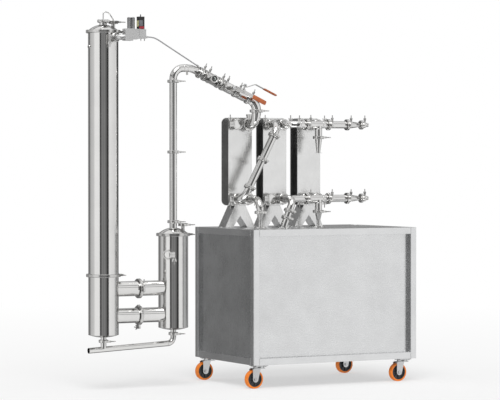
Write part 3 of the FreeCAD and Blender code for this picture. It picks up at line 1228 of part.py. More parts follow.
def cabinet_inside():
    """Condensate tank on its feet and the transfer pump with its motor, on the floor sheet."""
    floor_z = BASE_Z + FLOOR_LIFT + DECK_SHEET
    r = TANK_OD / 2
    x0, y0 = port(1, 1, -1).x, DROP_1_Y + 60
    low = floor_z + TANK_LIFT
    tank = Part.makeCylinder(r, TANK_LENGTH, V(x0, y0, low))
    tank = tank.cut(Part.makeCylinder(r - TANK_WALL, TANK_LENGTH - 2 * TANK_WALL, V(x0, y0, low + TANK_WALL)))
    neck = Part.makeCylinder(LINE_2.r, TANK_NECK, V(x0, y0, low + TANK_LENGTH))
    bore_low = V(x0, y0, low + TANK_LENGTH - TANK_NECK / 2)
    tank = tank.fuse(neck).cut(Part.makeCylinder(LINE_2.bore, 1.5 * TANK_NECK, bore_low))
    legs = []
    for i in range(3):
        a = math.radians(90 + 120 * i)
        out = r - TANK_LEG_INSET
        at = V(x0 + out * math.cos(a), y0 + out * math.sin(a), floor_z)
        legs.append(Part.makeCylinder(TANK_LEG / 2, low - floor_z, at))
    add("condensate_tank", tank.fuse(legs))

    axis_z = floor_z + FOOT_SHEET + PUMP_OD / 2 + PUMP_CLEAR
    head = rod(V(PUMP_X, PUMP_Y, axis_z), V(PUMP_X + PUMP_LENGTH, PUMP_Y, axis_z), PUMP_OD / 2)
    motor_x = PUMP_X + PUMP_LENGTH
    motor = rod(V(motor_x, PUMP_Y, axis_z), V(motor_x + MOTOR_LENGTH, PUMP_Y, axis_z), MOTOR_OD / 2)
    suction = rod(V(PUMP_X - PUMP_PORT, PUMP_Y, axis_z), V(PUMP_X, PUMP_Y, axis_z), LINE_15.r)
    outlet = V(PUMP_X + PUMP_LENGTH / 2, PUMP_Y, axis_z)
    delivery = rod(outlet, outlet + UP * (PUMP_OD / 2 + PUMP_PORT), LINE_1.r)
    foot_x = motor_x + PUMP_FOOT_FRONT
    foot_end = motor_x + MOTOR_LENGTH - PUMP_FOOT_BACK
    foot = box(foot_x, foot_end, PUMP_Y - PUMP_FOOT_WIDTH / 2, PUMP_Y + PUMP_FOOT_WIDTH / 2,
               floor_z, floor_z + FOOT_SHEET)
    saddle = box(foot_x + SADDLE_INSET, foot_end - SADDLE_INSET, PUMP_Y - SADDLE_WIDTH / 2,
                 PUMP_Y + SADDLE_WIDTH / 2, floor_z + FOOT_SHEET, axis_z - SADDLE_DROP)
    add("transfer_pump", joined([head, motor, suction, delivery, foot, saddle]))


def build():
    frame()
    panels()
    casters()
    for number in (1, 2, 3):
        exchanger(number)
    stands()
    crossover()
    deck_drops()
    manifold("upper_manifold", 1, UP)
    manifold("lower_manifold", -1, UP)
    blank_caps()
    vapour_line()
    vessel()
    column()
    drain_header()
    control_unit()
    vent_loop()
    sensor_cable()
    cabinet_inside()


def export():
    """Moves the origin to the bottom centre of everything but the cable, and writes each node."""
    bounds = FreeCAD.BoundBox()
    for node, solids in NODES.items():
        if node != "sensor_cable":
            for solid in solids:
                bounds.add(solid.BoundBox)
    shift = V(-bounds.Center.x, -bounds.Center.y, -bounds.ZMin)
    os.makedirs("parts", exist_ok=True)
    for node, solids in sorted(NODES.items()):
        shape = Part.Compound(solids) if len(solids) > 1 else solids[0]
        shape.translate(shift)
        shape.exportStep("parts/%s.step" % node)
    print("nodes", len(NODES), "shift %.3f %.3f %.3f" % (shift.x, shift.y, shift.z))
    print("size %.1f %.1f %.1f" % (bounds.XLength, bounds.YLength, bounds.ZLength))


build()
export()
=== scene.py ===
import json
import math

import bmesh
import bpy
from mathutils import Matrix, Vector


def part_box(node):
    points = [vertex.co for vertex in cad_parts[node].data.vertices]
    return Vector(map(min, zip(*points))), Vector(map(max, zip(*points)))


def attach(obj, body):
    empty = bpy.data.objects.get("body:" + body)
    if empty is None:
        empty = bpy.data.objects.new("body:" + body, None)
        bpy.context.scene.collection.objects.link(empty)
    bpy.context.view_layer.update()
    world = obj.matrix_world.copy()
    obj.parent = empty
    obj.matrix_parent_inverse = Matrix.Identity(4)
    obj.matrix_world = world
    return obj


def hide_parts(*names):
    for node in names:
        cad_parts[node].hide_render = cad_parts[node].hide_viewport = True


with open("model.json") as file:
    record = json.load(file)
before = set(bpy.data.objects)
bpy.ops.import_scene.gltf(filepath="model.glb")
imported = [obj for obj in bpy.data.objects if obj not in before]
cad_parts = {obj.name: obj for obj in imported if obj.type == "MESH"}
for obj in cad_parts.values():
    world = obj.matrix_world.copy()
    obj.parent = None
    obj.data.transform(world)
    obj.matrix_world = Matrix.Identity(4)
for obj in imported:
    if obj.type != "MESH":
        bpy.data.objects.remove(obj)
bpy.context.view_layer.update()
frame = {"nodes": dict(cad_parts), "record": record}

nodes = frame["nodes"]
SLOT_OF = {row["node"]: row["material_slot"] for row in frame["record"]["subparts"]}

# Driving dimensions, in millimetres from the cabinet's front left corner on the floor, as in the CAD source
CABINET_LOW = 160.0
ELBOW_RADIUS = 76.2
TANGENT = 14.4
PORT_X, PORT_GAP, EXCHANGER_PITCH = 154.5, 92.0, 276.0
PORT_LOW, PORT_TOP = 1273.5, 1792.5
CROSSOVER_Y, DROP_1_Y = 420.0, 355.0
MANIFOLD_DROP_X, TEE_REACH = 749.0, 29.0
VAPOUR_Y = 412.0
LINE_SLOPE = math.radians(24.5)
GOOSENECK_FLAT = 29.8
SECOND_BEND_RADIUS = 150.0
VESSEL_X = -397.0
HEADER_START_Z, HEADER_FALL, HEADER_WELD = 302.0, 0.0476, 44.0
SIGHT_GLASS_AT, VALVES_AT = 136.0, (286.0, 394.0)
CONTROL_Y, CONTROL_TOP_Z = 238.0, 2416.0
CASTER_XS, CASTER_YS = (75.0, 1220.0), (65.0, 791.0)
CASTER_TRAIL, WHEEL_RADIUS = 38.0, 63.5

FRONT = Vector((0, -1, 0))
RIGHT = Vector((1, 0, 0))
UP = Vector((0, 0, 1))
DOWN_LINE = Vector((math.cos(LINE_SLOPE), 0, -math.sin(LINE_SLOPE)))
LINE_NORMAL = Vector((math.sin(LINE_SLOPE), 0, math.cos(LINE_SLOPE)))
MM_TO_A_METRE = 1000

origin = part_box("frame_posts")[0] - UP * (CABINET_LOW / MM_TO_A_METRE)


def cab(x, y, z):
    """A point in metres, given in millimetres from the cabinet's front left corner on the floor."""
    return origin + Vector((x, y, z)) / MM_TO_A_METRE


def line_start():
    """Where the inclined vapour line leaves the gooseneck, in millimetres."""
    riser_x = PORT_X + PORT_GAP
    elbow_x = riser_x - ELBOW_RADIUS * (1 - math.sin(LINE_SLOPE))
    riser_joint_z = PORT_TOP + ELBOW_RADIUS + TANGENT
    elbow_z = riser_joint_z + TANGENT / 2 + ELBOW_RADIUS * math.cos(LINE_SLOPE)
    start_x = VESSEL_X + ELBOW_RADIUS + GOOSENECK_FLAT + SECOND_BEND_RADIUS * math.sin(LINE_SLOPE)
    return start_x, VAPOUR_Y, elbow_z + (elbow_x - start_x) * math.tan(LINE_SLOPE)


LINE_START = line_start()
CREST_Z = LINE_START[2] + SECOND_BEND_RADIUS * (1 - math.cos(LINE_SLOPE))


def on_line(distance):
    """A point on the inclined line's axis, in millimetres down from its start."""
    return cab(*LINE_START) + DOWN_LINE * (distance / MM_TO_A_METRE)


# Camera, at the photograph's angle
CAMERA_PLACE = (-7739.0, -14114.0, 1557.0)
LENS, SENSOR_WIDTH, CLIP_END = 172.5, 36, 60
VIEW_X, VIEW_Y = 0.480, 0.877
YAW_TRIM = math.radians(0.043)
PITCH_DOWN = math.radians(1.0)


def add_camera():
    data = bpy.data.cameras.new("camera")
    data.lens = LENS
    data.sensor_width = SENSOR_WIDTH
    data.clip_end = CLIP_END
    camera = bpy.data.objects.new("camera", data)
    bpy.context.scene.collection.objects.link(camera)
    yaw = math.atan2(VIEW_Y, VIEW_X) + YAW_TRIM
    look = Vector((math.cos(yaw) * math.cos(PITCH_DOWN), math.sin(yaw) * math.cos(PITCH_DOWN),
                   -math.sin(PITCH_DOWN)))
    camera.location = cab(*CAMERA_PLACE)
    camera.rotation_mode = "QUATERNION"
    camera.rotation_quaternion = look.to_track_quat("-Z", "Y")
    bpy.context.scene.camera = camera
    bpy.context.scene.view_settings.view_transform = "Standard"


add_camera()


# Node helpers
class Nodes:
    """Short calls for building a node tree."""

    def __init__(self, tree):
        self.tree = tree
        tree.nodes.clear()

    def new(self, kind, values=(), **settings):
        node = self.tree.nodes.new(kind)
        for key, value in settings.items():
            setattr(node, key, value)
        for key, value in dict(values).items():
            self.feed(node.inputs[key], value)
        return node

    def feed(self, socket, value):
        """Links a socket to another node's output, or sets it to a value."""
        if isinstance(value, bpy.types.NodeSocket):
            self.tree.links.new(value, socket)
        else:
            socket.default_value = value

    def calc(self, operation, a, b=0.0, c=0.0, clamp=False):
        inputs = {0: a, 1: b, 2: c}
        return self.new("ShaderNodeMath", inputs, operation=operation, use_clamp=clamp).outputs[0]

    def ramp(self, factor, stops):
        """A colour ramp from (place, level or colour) stops in rising order."""
        node = self.new("ShaderNodeValToRGB", {0: factor})
        elements = node.color_ramp.elements
        elements[0].position, elements[-1].position = stops[0][0], stops[-1][0]
        for place, _ in stops[1:-1]:
            elements.new(place)
        for element, (_, value) in zip(elements, stops):
            element.color = (*(value if isinstance(value, tuple) else (value,) * 3), 1)
        return node.outputs[0]

    def noise(self, vector, scale, detail, roughness, stretch=None):
        if stretch:
            vector = self.new("ShaderNodeMapping", {"Vector": vector, "Scale": stretch}).outputs[0]
        return self.new("ShaderNodeTexNoise", {"Vector": vector, "Scale": scale, "Detail": detail,
                                               "Roughness": roughness}).outputs[0]

    def mix(self, factor, a, b):
        """A blend of two colours."""
        node = self.new("ShaderNodeMix", data_type="RGBA")
        for socket, value in ((node.inputs[0], factor), (node.inputs[6], a), (node.inputs[7], b)):
            self.feed(socket, (*value, 1) if isinstance(value, tuple) else value)
        return node.outputs[2]

    def bump(self, height, strength, distance, normal=None):
        values = {"Height": height, "Strength": strength, "Distance": distance}
        if normal:
            values["Normal"] = normal
        return self.new("ShaderNodeBump", values).outputs[0]


def material(name):
    made = bpy.data.materials.new(name)
    made.use_nodes = True
    n = Nodes(made.node_tree)
    shader = n.new("ShaderNodeBsdfPrincipled")
    n.new("ShaderNodeOutputMaterial", {"Surface": shader.outputs[0]})
    return made, n, shader


def connect(n, shader, **values):
    """Feeds the shader's sockets, named with underscores for spaces."""
    for key, value in values.items():
        n.feed(shader.inputs[key.replace("_", " ")], (*value, 1) if isinstance(value, tuple) else value)


def object_place(n):
    return n.new("ShaderNodeTexCoord").outputs["Object"]


def shade(color, factor, lift=0.0):
    return tuple(min(1.0, c * factor + lift) for c in color)


# Texture scales, in features to a metre, and how strongly each layer shows
CLOUD_SCALE, FINE_SCALE, FLECK_SCALE, WAVE_SCALE, SCRATCH_SCALE = 5.0, 160.0, 34.0, 3.2, 42.0
DRIFT_SCALE, RUB_SCALE, FILM_SCALE, FLOOR_SCALE = 24.0, 70.0, 60.0, 3.0
DRIFT_DARK, DRIFT_LIGHT, DRIFT_ROUGHNESS, RUBBED_SHADE, RUBBED_LIFT = 0.82, 1.12, 0.2, 0.4, 0.12
FLECK_SHADE, SCRATCH_SHADE, SCRATCH_TINT, SCRATCH_ROUGHNESS = 0.45, 0.72, 0.22, 0.16
WAVE_STRENGTH, SCRATCH_STRENGTH, PEBBLE_STRENGTH = 0.35, 0.6, 0.5
ACROSS = (0.6, 14.0, 14.0)
UPRIGHT = (14.0, 14.0, 0.5)


def steel(name, color, rough, smudge, wave, tint, flecks=0.0, grain=None, grain_depth=0.0):
    """Bare metal: mottled colour, smudged roughness and slow waves, with flecks or a brushed grain."""
    made, n, shader = material(name)
    place = object_place(n)
    cloud = n.noise(place, CLOUD_SCALE, detail=4.0, roughness=0.6)
    base = n.ramp(cloud, [(0.3, shade(color, 1 - tint * 2)), (0.72, shade(color, 1 + tint))])
    if flecks:
        spots = n.noise(place, FLECK_SCALE, detail=5.0, roughness=0.75)
        spot = n.ramp(spots, [(0.60, 0.0), (0.72, 1.0)])
        base = n.mix(n.calc("MULTIPLY", spot, flecks), base, shade(color, FLECK_SHADE))
    fine = n.noise(place, FINE_SCALE, detail=2.0, roughness=0.6)
    roughness = n.calc("ADD", n.calc("MULTIPLY", fine, smudge * 0.5), rough - smudge * 0.5)
    roughness = n.calc("ADD", roughness, n.calc("MULTIPLY", cloud, smudge), clamp=True)
    normal = n.bump(n.noise(place, WAVE_SCALE, detail=1.0, roughness=0.4), WAVE_STRENGTH, wave)
    if grain:
        scratch = n.noise(place, SCRATCH_SCALE, detail=3.0, roughness=0.7, stretch=grain)
        normal = n.bump(scratch, SCRATCH_STRENGTH, grain_depth, normal)
        scuff = n.calc("MULTIPLY", n.calc("SUBTRACT", scratch, 0.5), SCRATCH_ROUGHNESS)
        roughness = n.calc("ADD", roughness, scuff, clamp=True)
        base = n.mix(n.calc("MULTIPLY", scratch, SCRATCH_TINT), base, shade(color, SCRATCH_SHADE))
    connect(n, shader, Base_Color=base, Metallic=1.0, Roughness=roughness, Normal=normal)
    return made


def plastic(name, color, rough, pebble_scale=420.0, pebble_depth=0.00012, wear=0.0):
    """Moulded plastic or paint: a fine pebble grain, colour drift and rubbed patches."""
    made, n, shader = material(name)
    place = object_place(n)
    drift = n.noise(place, DRIFT_SCALE, detail=4.0, roughness=0.6)
    base = n.ramp(drift, [(0.3, shade(color, DRIFT_DARK)), (0.7, shade(color, DRIFT_LIGHT))])
    if wear:
        patches = n.noise(place, RUB_SCALE, detail=5.0, roughness=0.7)
        rubbed = n.ramp(patches, [(0.55, 0.0), (0.7, 1.0)])
        base = n.mix(n.calc("MULTIPLY", rubbed, wear), base, shade(color, RUBBED_SHADE, RUBBED_LIFT))
    pebble = n.noise(place, pebble_scale, detail=2.0, roughness=0.5)
    roughness = n.calc("MULTIPLY_ADD", drift, DRIFT_ROUGHNESS, rough - DRIFT_ROUGHNESS / 2)
    normal = n.bump(pebble, PEBBLE_STRENGTH, pebble_depth)
    connect(n, shader, Base_Color=base, Roughness=roughness, Normal=normal)
    return made


def sight_glass():
    """Clear glass with a thin uneven film."""
    made, n, shader = material("sight_glass")
    film = n.ramp(n.noise(object_place(n), FILM_SCALE, detail=3.0, roughness=0.6), [(0.3, 0.02), (0.8, 0.12)])
    connect(n, shader, Base_Color=(0.90, 0.95, 0.94), Roughness=film, Transmission_Weight=1.0, IOR=1.47)
    return made


# Materials, each with its function's values in order
METALS = {
    "polished_steel": ((0.76, 0.755, 0.745), 0.085, 0.05, 0.0012, 0.03),
    "clamp_steel": ((0.66, 0.655, 0.645), 0.19, 0.10, 0.0006, 0.08, 0.35),
    "cabinet_steel": ((0.80, 0.805, 0.81), 0.21, 0.07, 0.0010, 0.04, 0.0, ACROSS, 0.00004),
    "cabinet_front": ((0.80, 0.805, 0.81), 0.24, 0.10, 0.0012, 0.05, 0.0, ACROSS, 0.000012),
    # The side look is the cabinet steel darkened to 0.56, painted shade on the back and end panels that face
    # away from the light
    "shaded_cabinet_side": ((0.56, 0.565, 0.57), 0.25, 0.10, 0.0016, 0.05, 0.0, UPRIGHT, 0.000012),
    "actuator_steel": ((0.36, 0.36, 0.365), 0.32, 0.12, 0.0002, 0.08, 0.3),
    "exchanger_steel": ((0.84, 0.84, 0.835), 0.22, 0.08, 0.0008, 0.05, 0.0, UPRIGHT, 0.00003),
    # The exchanger side look is the exchanger steel darkened to 0.17, painted shade on the plate edges along
    # the exchangers' sides
    "exchanger_side": ((0.17, 0.17, 0.168), 0.30, 0.14, 0.0006, 0.12, 0.4),
    "zinc_steel": ((0.66, 0.665, 0.67), 0.26, 0.12, 0.0004, 0.08, 0.3),
    "valve_alloy": ((0.72, 0.72, 0.72), 0.42, 0.10, 0.0002, 0.05, 0.2),
}
PLASTICS = {
    "black_plastic": ((0.018, 0.018, 0.02), 0.42),
    "orange_grip": ((0.44, 0.115, 0.035), 0.44, 300.0, 0.0002, 0.2),
    "grey_cable": ((0.36, 0.36, 0.37), 0.38, 600.0, 0.0001),
    "white_gasket": ((0.72, 0.72, 0.70), 0.5),
    "wheel_hub": ((0.035, 0.04, 0.045), 0.36, 500.0, 0.0001, 0.2),
    "wheel_tread": ((0.95, 0.235, 0.015), 0.38, 520.0, 0.0002, 0.12),
    "pump_paint": ((0.10, 0.18, 0.30), 0.35),
    "face_grey": ((0.16, 0.165, 0.18), 0.34, 500.0, 0.00008),
    "red_band": ((0.36, 0.02, 0.035), 0.36, 500.0, 0.00008),
    "pale_tag": ((0.80, 0.77, 0.42), 0.5, 500.0, 0.00006),
}
MATERIALS = {name: steel(name, *values) for name, values in METALS.items()}
MATERIALS.update({name: plastic(name, *values) for name, values in PLASTICS.items()})
MATERIALS["sight_glass"] = sight_glass()

# Looks and edges of the CAD nodes; a node without a look of its own takes its slot's, and the side panels
# take a darker copy of the cabinet steel as painted shade
NODE_LOOK = {"front_panel": "cabinet_front", "side_panels": "shaded_cabinet_side"}
BEVELS = {"frame_posts": 0.0022, "frame_rails": 0.0012, "front_panel": 0.0006, "side_panels": 0.0006,
          "exchanger_stands": 0.0014, "control_box": 0.001, "control_valve": 0.0015, "junction_box": 0.0018,
          "exchanger_1": 0.0012, "exchanger_2": 0.0012, "exchanger_3": 0.0012, "valve_1_body": 0.0015,
          "valve_2_body": 0.0015, "valve_1_lever": 0.0008, "valve_2_lever": 0.0008, "caster_plates": 0.001}
WELD_DISTANCE = 0.000004
BEVEL_ANGLE = math.radians(40)
SHARP_ANGLE = math.radians(28)


def finish_mesh(obj, bevel=0.0, weld=True):
    """Smooth shading with sharp edges kept, over welded and lightly rounded edges."""
    obj.data.polygons.foreach_set("use_smooth", [True] * len(obj.data.polygons))
    if "custom_normal" in obj.data.attributes:
        obj.data.attributes.remove(obj.data.attributes["custom_normal"])
    if weld:
        obj.modifiers.new("weld", "WELD").merge_threshold = WELD_DISTANCE
    if bevel:
        rounded = obj.modifiers.new("bevel", "BEVEL")
        rounded.width = bevel
        rounded.segments = 2
        rounded.limit_method = "ANGLE"
        rounded.angle_limit = BEVEL_ANGLE
        obj.modifiers.new("flat_faces", "WEIGHTED_NORMAL").keep_sharp = False
    else:
        obj.modifiers.new("sharp", "EDGE_SPLIT").split_angle = SHARP_ANGLE


for name, obj in nodes.items():
    obj.data.materials.clear()
    obj.data.materials.append(MATERIALS[NODE_LOOK.get(name, SLOT_OF[name])])
    finish_mesh(obj, BEVELS.get(name, 0.0))


# Mesh helpers, in metres
def piece(name, bm, look_name, body="apparatus", bevel=0.0):
    """A new shown piece with a material, riding on a body."""
    mesh = bpy.data.meshes.new(name)
    bm.to_mesh(mesh)
    bm.free()
    obj = bpy.data.objects.new(name, mesh)
    bpy.context.scene.collection.objects.link(obj)
    mesh.materials.append(MATERIALS[look_name])
    finish_mesh(obj, bevel, weld=False)
    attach(obj, body)
    return obj


def frame_matrix(at, axis, toward=None):
    """A matrix whose Z runs along axis and whose X points toward a side."""
    z = Vector(axis).normalized()
    x = Vector(toward) if toward is not None else (RIGHT if abs(z.x) < 0.9 else Vector((0, 1, 0)))
    x = (x - z * x.dot(z)).normalized()
    y = z.cross(x)
    return Matrix(((x.x, y.x, z.x, at[0]), (x.y, y.y, z.y, at[1]), (x.z, y.z, z.z, at[2]), (0, 0, 0, 1)))


def bridge(bm, loops):
    """Faces from each loop of vertices to the next; a loop of one vertex is a tip."""
    for a, b in zip(loops, loops[1:]):
        count = max(len(a), len(b))
        for i in range(count):
            j = (i + 1) % count
            if len(a) == 1:
                bm.faces.new((a[0], b[j], b[i]))
            elif len(b) == 1:
                bm.faces.new((a[i], a[j], b[0]))
            else:
                bm.faces.new((a[i], a[j], b[j], b[i]))


def lathe(bm, profile, matrix, turns=48):
    """A closed solid of revolution about the matrix's Z, from (radius, height) points."""
    loops = []
    for radius, height in profile:
        angles = [math.tau * i / turns for i in range(turns if radius else 1)]
        loops.append([bm.verts.new(matrix @ Vector((radius * math.cos(a), radius * math.sin(a), height)))
                      for a in angles])
    is_ring = profile[0][0] > 0
    bridge(bm, loops + loops[:1] if is_ring else loops)


def disc(bm, radius, height, chamfer, matrix, turns):
    """A short cylinder, or a prism of a few turns, with a chamfer of (inward, downward) at its top edge."""
    narrow, low = radius - chamfer[0], height - chamfer[1]
    lathe(bm, [(0, 0), (radius, 0), (radius, low), (narrow, height), (0, height)], matrix, turns)


def bead(bm, at, axis, radius, width=0.0032, proud=0.0007, sunk=0.0005, steps=6):
    """A slim weld bead round a tube."""
    profile = [(radius - sunk, 0)]
    for k in range(steps + 1):
        profile.append((radius + proud * math.sin(math.pi * k / steps), width * (k / steps - 0.5)))
    lathe(bm, profile, frame_matrix(at, axis), 40)


def block(bm, low, high, matrix=Matrix.Identity(4)):
    corners = [bm.verts.new(matrix @ Vector((x, y, z))) for x in (low[0], high[0]) for y in (low[1], high[1])
               for z in (low[2], high[2])]
    for face in ((0, 1, 3, 2), (4, 6, 7, 5), (0, 4, 5, 1), (2, 3, 7, 6), (0, 2, 6, 4), (1, 5, 7, 3)):
        bm.faces.new([corners[i] for i in face])


def rounded_outline(half_w, half_h, corner, steps=8):
    """The (x, z) points of a rectangle with rounded corners, about its middle."""
    points = []
    for side_x, side_z, start in ((1, 1, 0), (-1, 1, 90), (-1, -1, 180), (1, -1, 270)):
        for k in range(steps + 1):
            a = math.radians(start + 90 * k / steps)
            points.append((side_x * (half_w - corner) + corner * math.cos(a),
                           side_z * (half_h - corner) + corner * math.sin(a)))
    return points


# Exchangers: the edges of the brazed plates stand out between the two covers, in a dark copy of the exchanger
# steel that paints the shade of the exchangers' sides
EXCHANGER_DEPTH = 0.104
EXCHANGER_CORNER = 0.038
COVER_PLATE = 0.005
PLATE_COUNT = 22
PLATE_EDGE = 0.0026
PLATE_PROFILE = ((0.0032, 0.5), (0.0009, 0.5), (0.0002, 0.0), (0.0009, -0.5), (0.0032, -0.5))


def exchanger_edges(number):
    """Thin bands round one exchanger, whose profile holds each loop's inset and share of the width."""
    low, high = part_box("exchanger_%d" % number)
    middle = (low + high) / 2
    half_w, half_h = (high.x - low.x) / 2, (high.z - low.z) / 2
    pitch = (EXCHANGER_DEPTH - 2 * COVER_PLATE) / PLATE_COUNT
    bm = bmesh.new()
    for k in range(PLATE_COUNT):
        y = high.y - EXCHANGER_DEPTH + COVER_PLATE + pitch * (k + 0.5)
        loops = []
        for inset, share in PLATE_PROFILE:
            outline = rounded_outline(half_w - inset, half_h - inset, EXCHANGER_CORNER - inset)
            loop_y = y + share * PLATE_EDGE
            loops.append([bm.verts.new((middle.x + x, loop_y, middle.z + z)) for x, z in outline])
        bridge(bm, loops + loops[:1])
    piece("exchanger_%d_plate_edges" % number, bm, "exchanger_side")


for number in (1, 2, 3):
    exchanger_edges(number)


# Cable, on the same points as in the CAD source
CABLE_POINTS = [(-672.0, 238.0, 2364.0), (-640.0, 238.0, 2364.0), (-594.0, 250.0, 2350.0),
                (-549.0, 266.0, 2329.0), (-220.7, 405.4, 2189.8)]
CABLE_DIAMETER = 0.009


def cable():
    data = bpy.data.curves.new("sensor_cable_line", "CURVE")
    data.dimensions = "3D"
    spline = data.splines.new("NURBS")
    spline.points.add(len(CABLE_POINTS) - 1)
    for point, place in zip(spline.points, CABLE_POINTS):
        point.co = (*cab(*place), 1)
    spline.order_u = 3
    spline.use_endpoint_u = True
    spline.resolution_u = 24
    data.bevel_depth = CABLE_DIAMETER / 2
    data.bevel_resolution = 6
    data.use_fill_caps = True
    data.materials.append(MATERIALS["grey_cable"])
    obj = bpy.data.objects.new("cable_jacket", data)
    bpy.context.scene.collection.objects.link(obj)
    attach(obj, "apparatus")
    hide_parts("sensor_cable")


cable()


# Valve levers: ribbed grips on the two cranked levers, and nuts over their stems
STEM_HEIGHT = 0.066
GRIP_START, GRIP_END, GRIP_HEIGHT = 0.138, 0.250, 0.047
GRIP_HALF_WIDTH, GRIP_HALF_THICK = 0.0155, 0.0055
GRIP_STATIONS, GRIP_AROUND = 120, 28
GRIP_END_ROUNDING, GRIP_END_SHARE = 0.006, 0.65
GRIP_RIBS, GRIP_RIB_RISE, GRIP_FLAT_SINK = 9, 0.0009, 0.0006
RIBS_FROM, RIBS_TO = 0.12, 0.88
SIDE_SQUARENESS, FACE_SQUARENESS = 0.45, 0.6
LEVER_NUT = (0.0115, 0.0074, (0.0015, 0.0012))
LEVER_NUT_SEAT = 0.0082


def grip_section(u):
    """The grip's size and the height of its rib at the share u of its length."""
    from_end = min(1.0, min(u, 1 - u) * (GRIP_END - GRIP_START) / GRIP_END_ROUNDING)
    swell = GRIP_END_SHARE + (1 - GRIP_END_SHARE) * math.sqrt(1 - (1 - from_end) ** 2)
    if not RIBS_FROM < u < RIBS_TO:
        return swell, 0.0
    wave = math.sin(math.pi * GRIP_RIBS * (u - RIBS_FROM) / (RIBS_TO - RIBS_FROM))
    return swell, GRIP_RIB_RISE * abs(wave) ** 0.5


def grip(number, distance, stem):
    matrix = frame_matrix(on_line(distance) + stem * STEM_HEIGHT, stem, DOWN_LINE)
    bm = bmesh.new()
    loops = []
    for k in range(GRIP_STATIONS + 1):
        u = k / GRIP_STATIONS
        swell, rib = grip_section(u)
        half_y = (GRIP_HALF_WIDTH - GRIP_RIB_RISE + rib) * swell
        half_z = (GRIP_HALF_THICK - GRIP_FLAT_SINK + rib) * swell
        loop = []
        for i in range(GRIP_AROUND):
            c, s = math.cos(math.tau * i / GRIP_AROUND), math.sin(math.tau * i / GRIP_AROUND)
            loop.append(bm.verts.new(matrix @ Vector((
                GRIP_START + (GRIP_END - GRIP_START) * u,
                math.copysign(abs(c) ** SIDE_SQUARENESS, c) * half_y,
                GRIP_HEIGHT + math.copysign(abs(s) ** FACE_SQUARENESS, s) * half_z))))
        loops.append(loop)
    bridge(bm, loops)
    bm.faces.new(list(reversed(loops[0])))
    bm.faces.new(loops[-1])
    node = "valve_%d_grip" % number
    obj = piece("ribbed_grip_%d" % number, bm, "orange_grip", "valve_handle_%d" % number)
    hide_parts(node)


def lever_nut(number, distance, stem):
    bm = bmesh.new()
    seat = frame_matrix(on_line(distance) + stem * (STEM_HEIGHT + LEVER_NUT_SEAT), stem, DOWN_LINE)
    disc(bm, *LEVER_NUT, seat, 6)
    piece("lever_nut_%d" % number, bm, "zinc_steel", "valve_handle_%d" % number)


VALVES = ((1, VALVES_AT[0], FRONT), (2, VALVES_AT[1], LINE_NORMAL))
for valve in VALVES:
    grip(*valve)
for valve in VALVES:
    lever_nut(*valve)


# Sight glass: a bolted bezel ring over each window
BEZEL_SEAT = 0.046
BEZEL_IN, BEZEL_OUT, BEZEL_THICK = 0.0205, 0.0286, 0.0030
BEZEL_IN_CHAMFER, BEZEL_OUT_CHAMFER = 0.0010, 0.0008
BEZEL_BOLTS, BEZEL_BOLT_CIRCLE = 6, 0.0247
BEZEL_BOLT = (0.0027, 0.0026, (0.0006, 0.0006))


def bezels():
    bm = bmesh.new()
    for side in (FRONT, -FRONT):
        seat = frame_matrix(on_line(SIGHT_GLASS_AT) + side * BEZEL_SEAT, side, DOWN_LINE)
        edge = BEZEL_THICK - BEZEL_OUT_CHAMFER
        lathe(bm, [(BEZEL_IN, 0), (BEZEL_IN, edge), (BEZEL_IN + BEZEL_IN_CHAMFER, BEZEL_THICK),
                   (BEZEL_OUT - BEZEL_OUT_CHAMFER, BEZEL_THICK), (BEZEL_OUT, edge), (BEZEL_OUT, 0)], seat, 64)
        for k in range(BEZEL_BOLTS):
            a = math.tau * (k + 0.5) / BEZEL_BOLTS
            on_circle = Vector((math.cos(a), math.sin(a), 0)) * BEZEL_BOLT_CIRCLE
            at = seat @ (on_circle + UP * BEZEL_THICK)
            disc(bm, *BEZEL_BOLT, frame_matrix(at, side), 16)
    piece("sight_glass_bezels", bm, "clamp_steel")


bezels()

# Weld beads where elbows and tees meet straight tubes, on tubes of 2, 1.5 and 2.5 inches
RADIUS_2, RADIUS_15, RADIUS_25 = 0.0254, 0.01905, 0.03175


def riser_and_gooseneck_beads(bm):
    riser_x = PORT_X + PORT_GAP
    bead(bm, cab(VESSEL_X, VAPOUR_Y, CREST_Z - ELBOW_RADIUS), UP, RADIUS_2)
    bead(bm, cab(VESSEL_X + ELBOW_RADIUS, VAPOUR_Y, CREST_Z), RIGHT, RADIUS_2)
    bead(bm, on_line(2), DOWN_LINE, RADIUS_2)
    bead(bm, cab(riser_x, VAPOUR_Y, PORT_TOP + ELBOW_RADIUS), UP, RADIUS_25)
    bead(bm, cab(riser_x, VAPOUR_Y + ELBOW_RADIUS, PORT_TOP), FRONT, RADIUS_25)


def crossover_and_drop_beads(bm):
    slant = Vector((EXCHANGER_PITCH, 0, PORT_TOP - PORT_LOW)).normalized()
    reach = slant * (ELBOW_RADIUS / MM_TO_A_METRE)
    for x, z, way in ((PORT_X, PORT_LOW, 1), (PORT_X + EXCHANGER_PITCH, PORT_TOP, -1)):
        bead(bm, cab(x, CROSSOVER_Y + ELBOW_RADIUS, z), FRONT, RADIUS_2)
        bead(bm, cab(x, CROSSOVER_Y, z) + reach * way, slant, RADIUS_2)
    drop_x = PORT_X + PORT_GAP
    bead(bm, cab(drop_x, DROP_1_Y + ELBOW_RADIUS, PORT_LOW), FRONT, RADIUS_2)
    bead(bm, cab(drop_x, DROP_1_Y, PORT_LOW - ELBOW_RADIUS), UP, RADIUS_2)


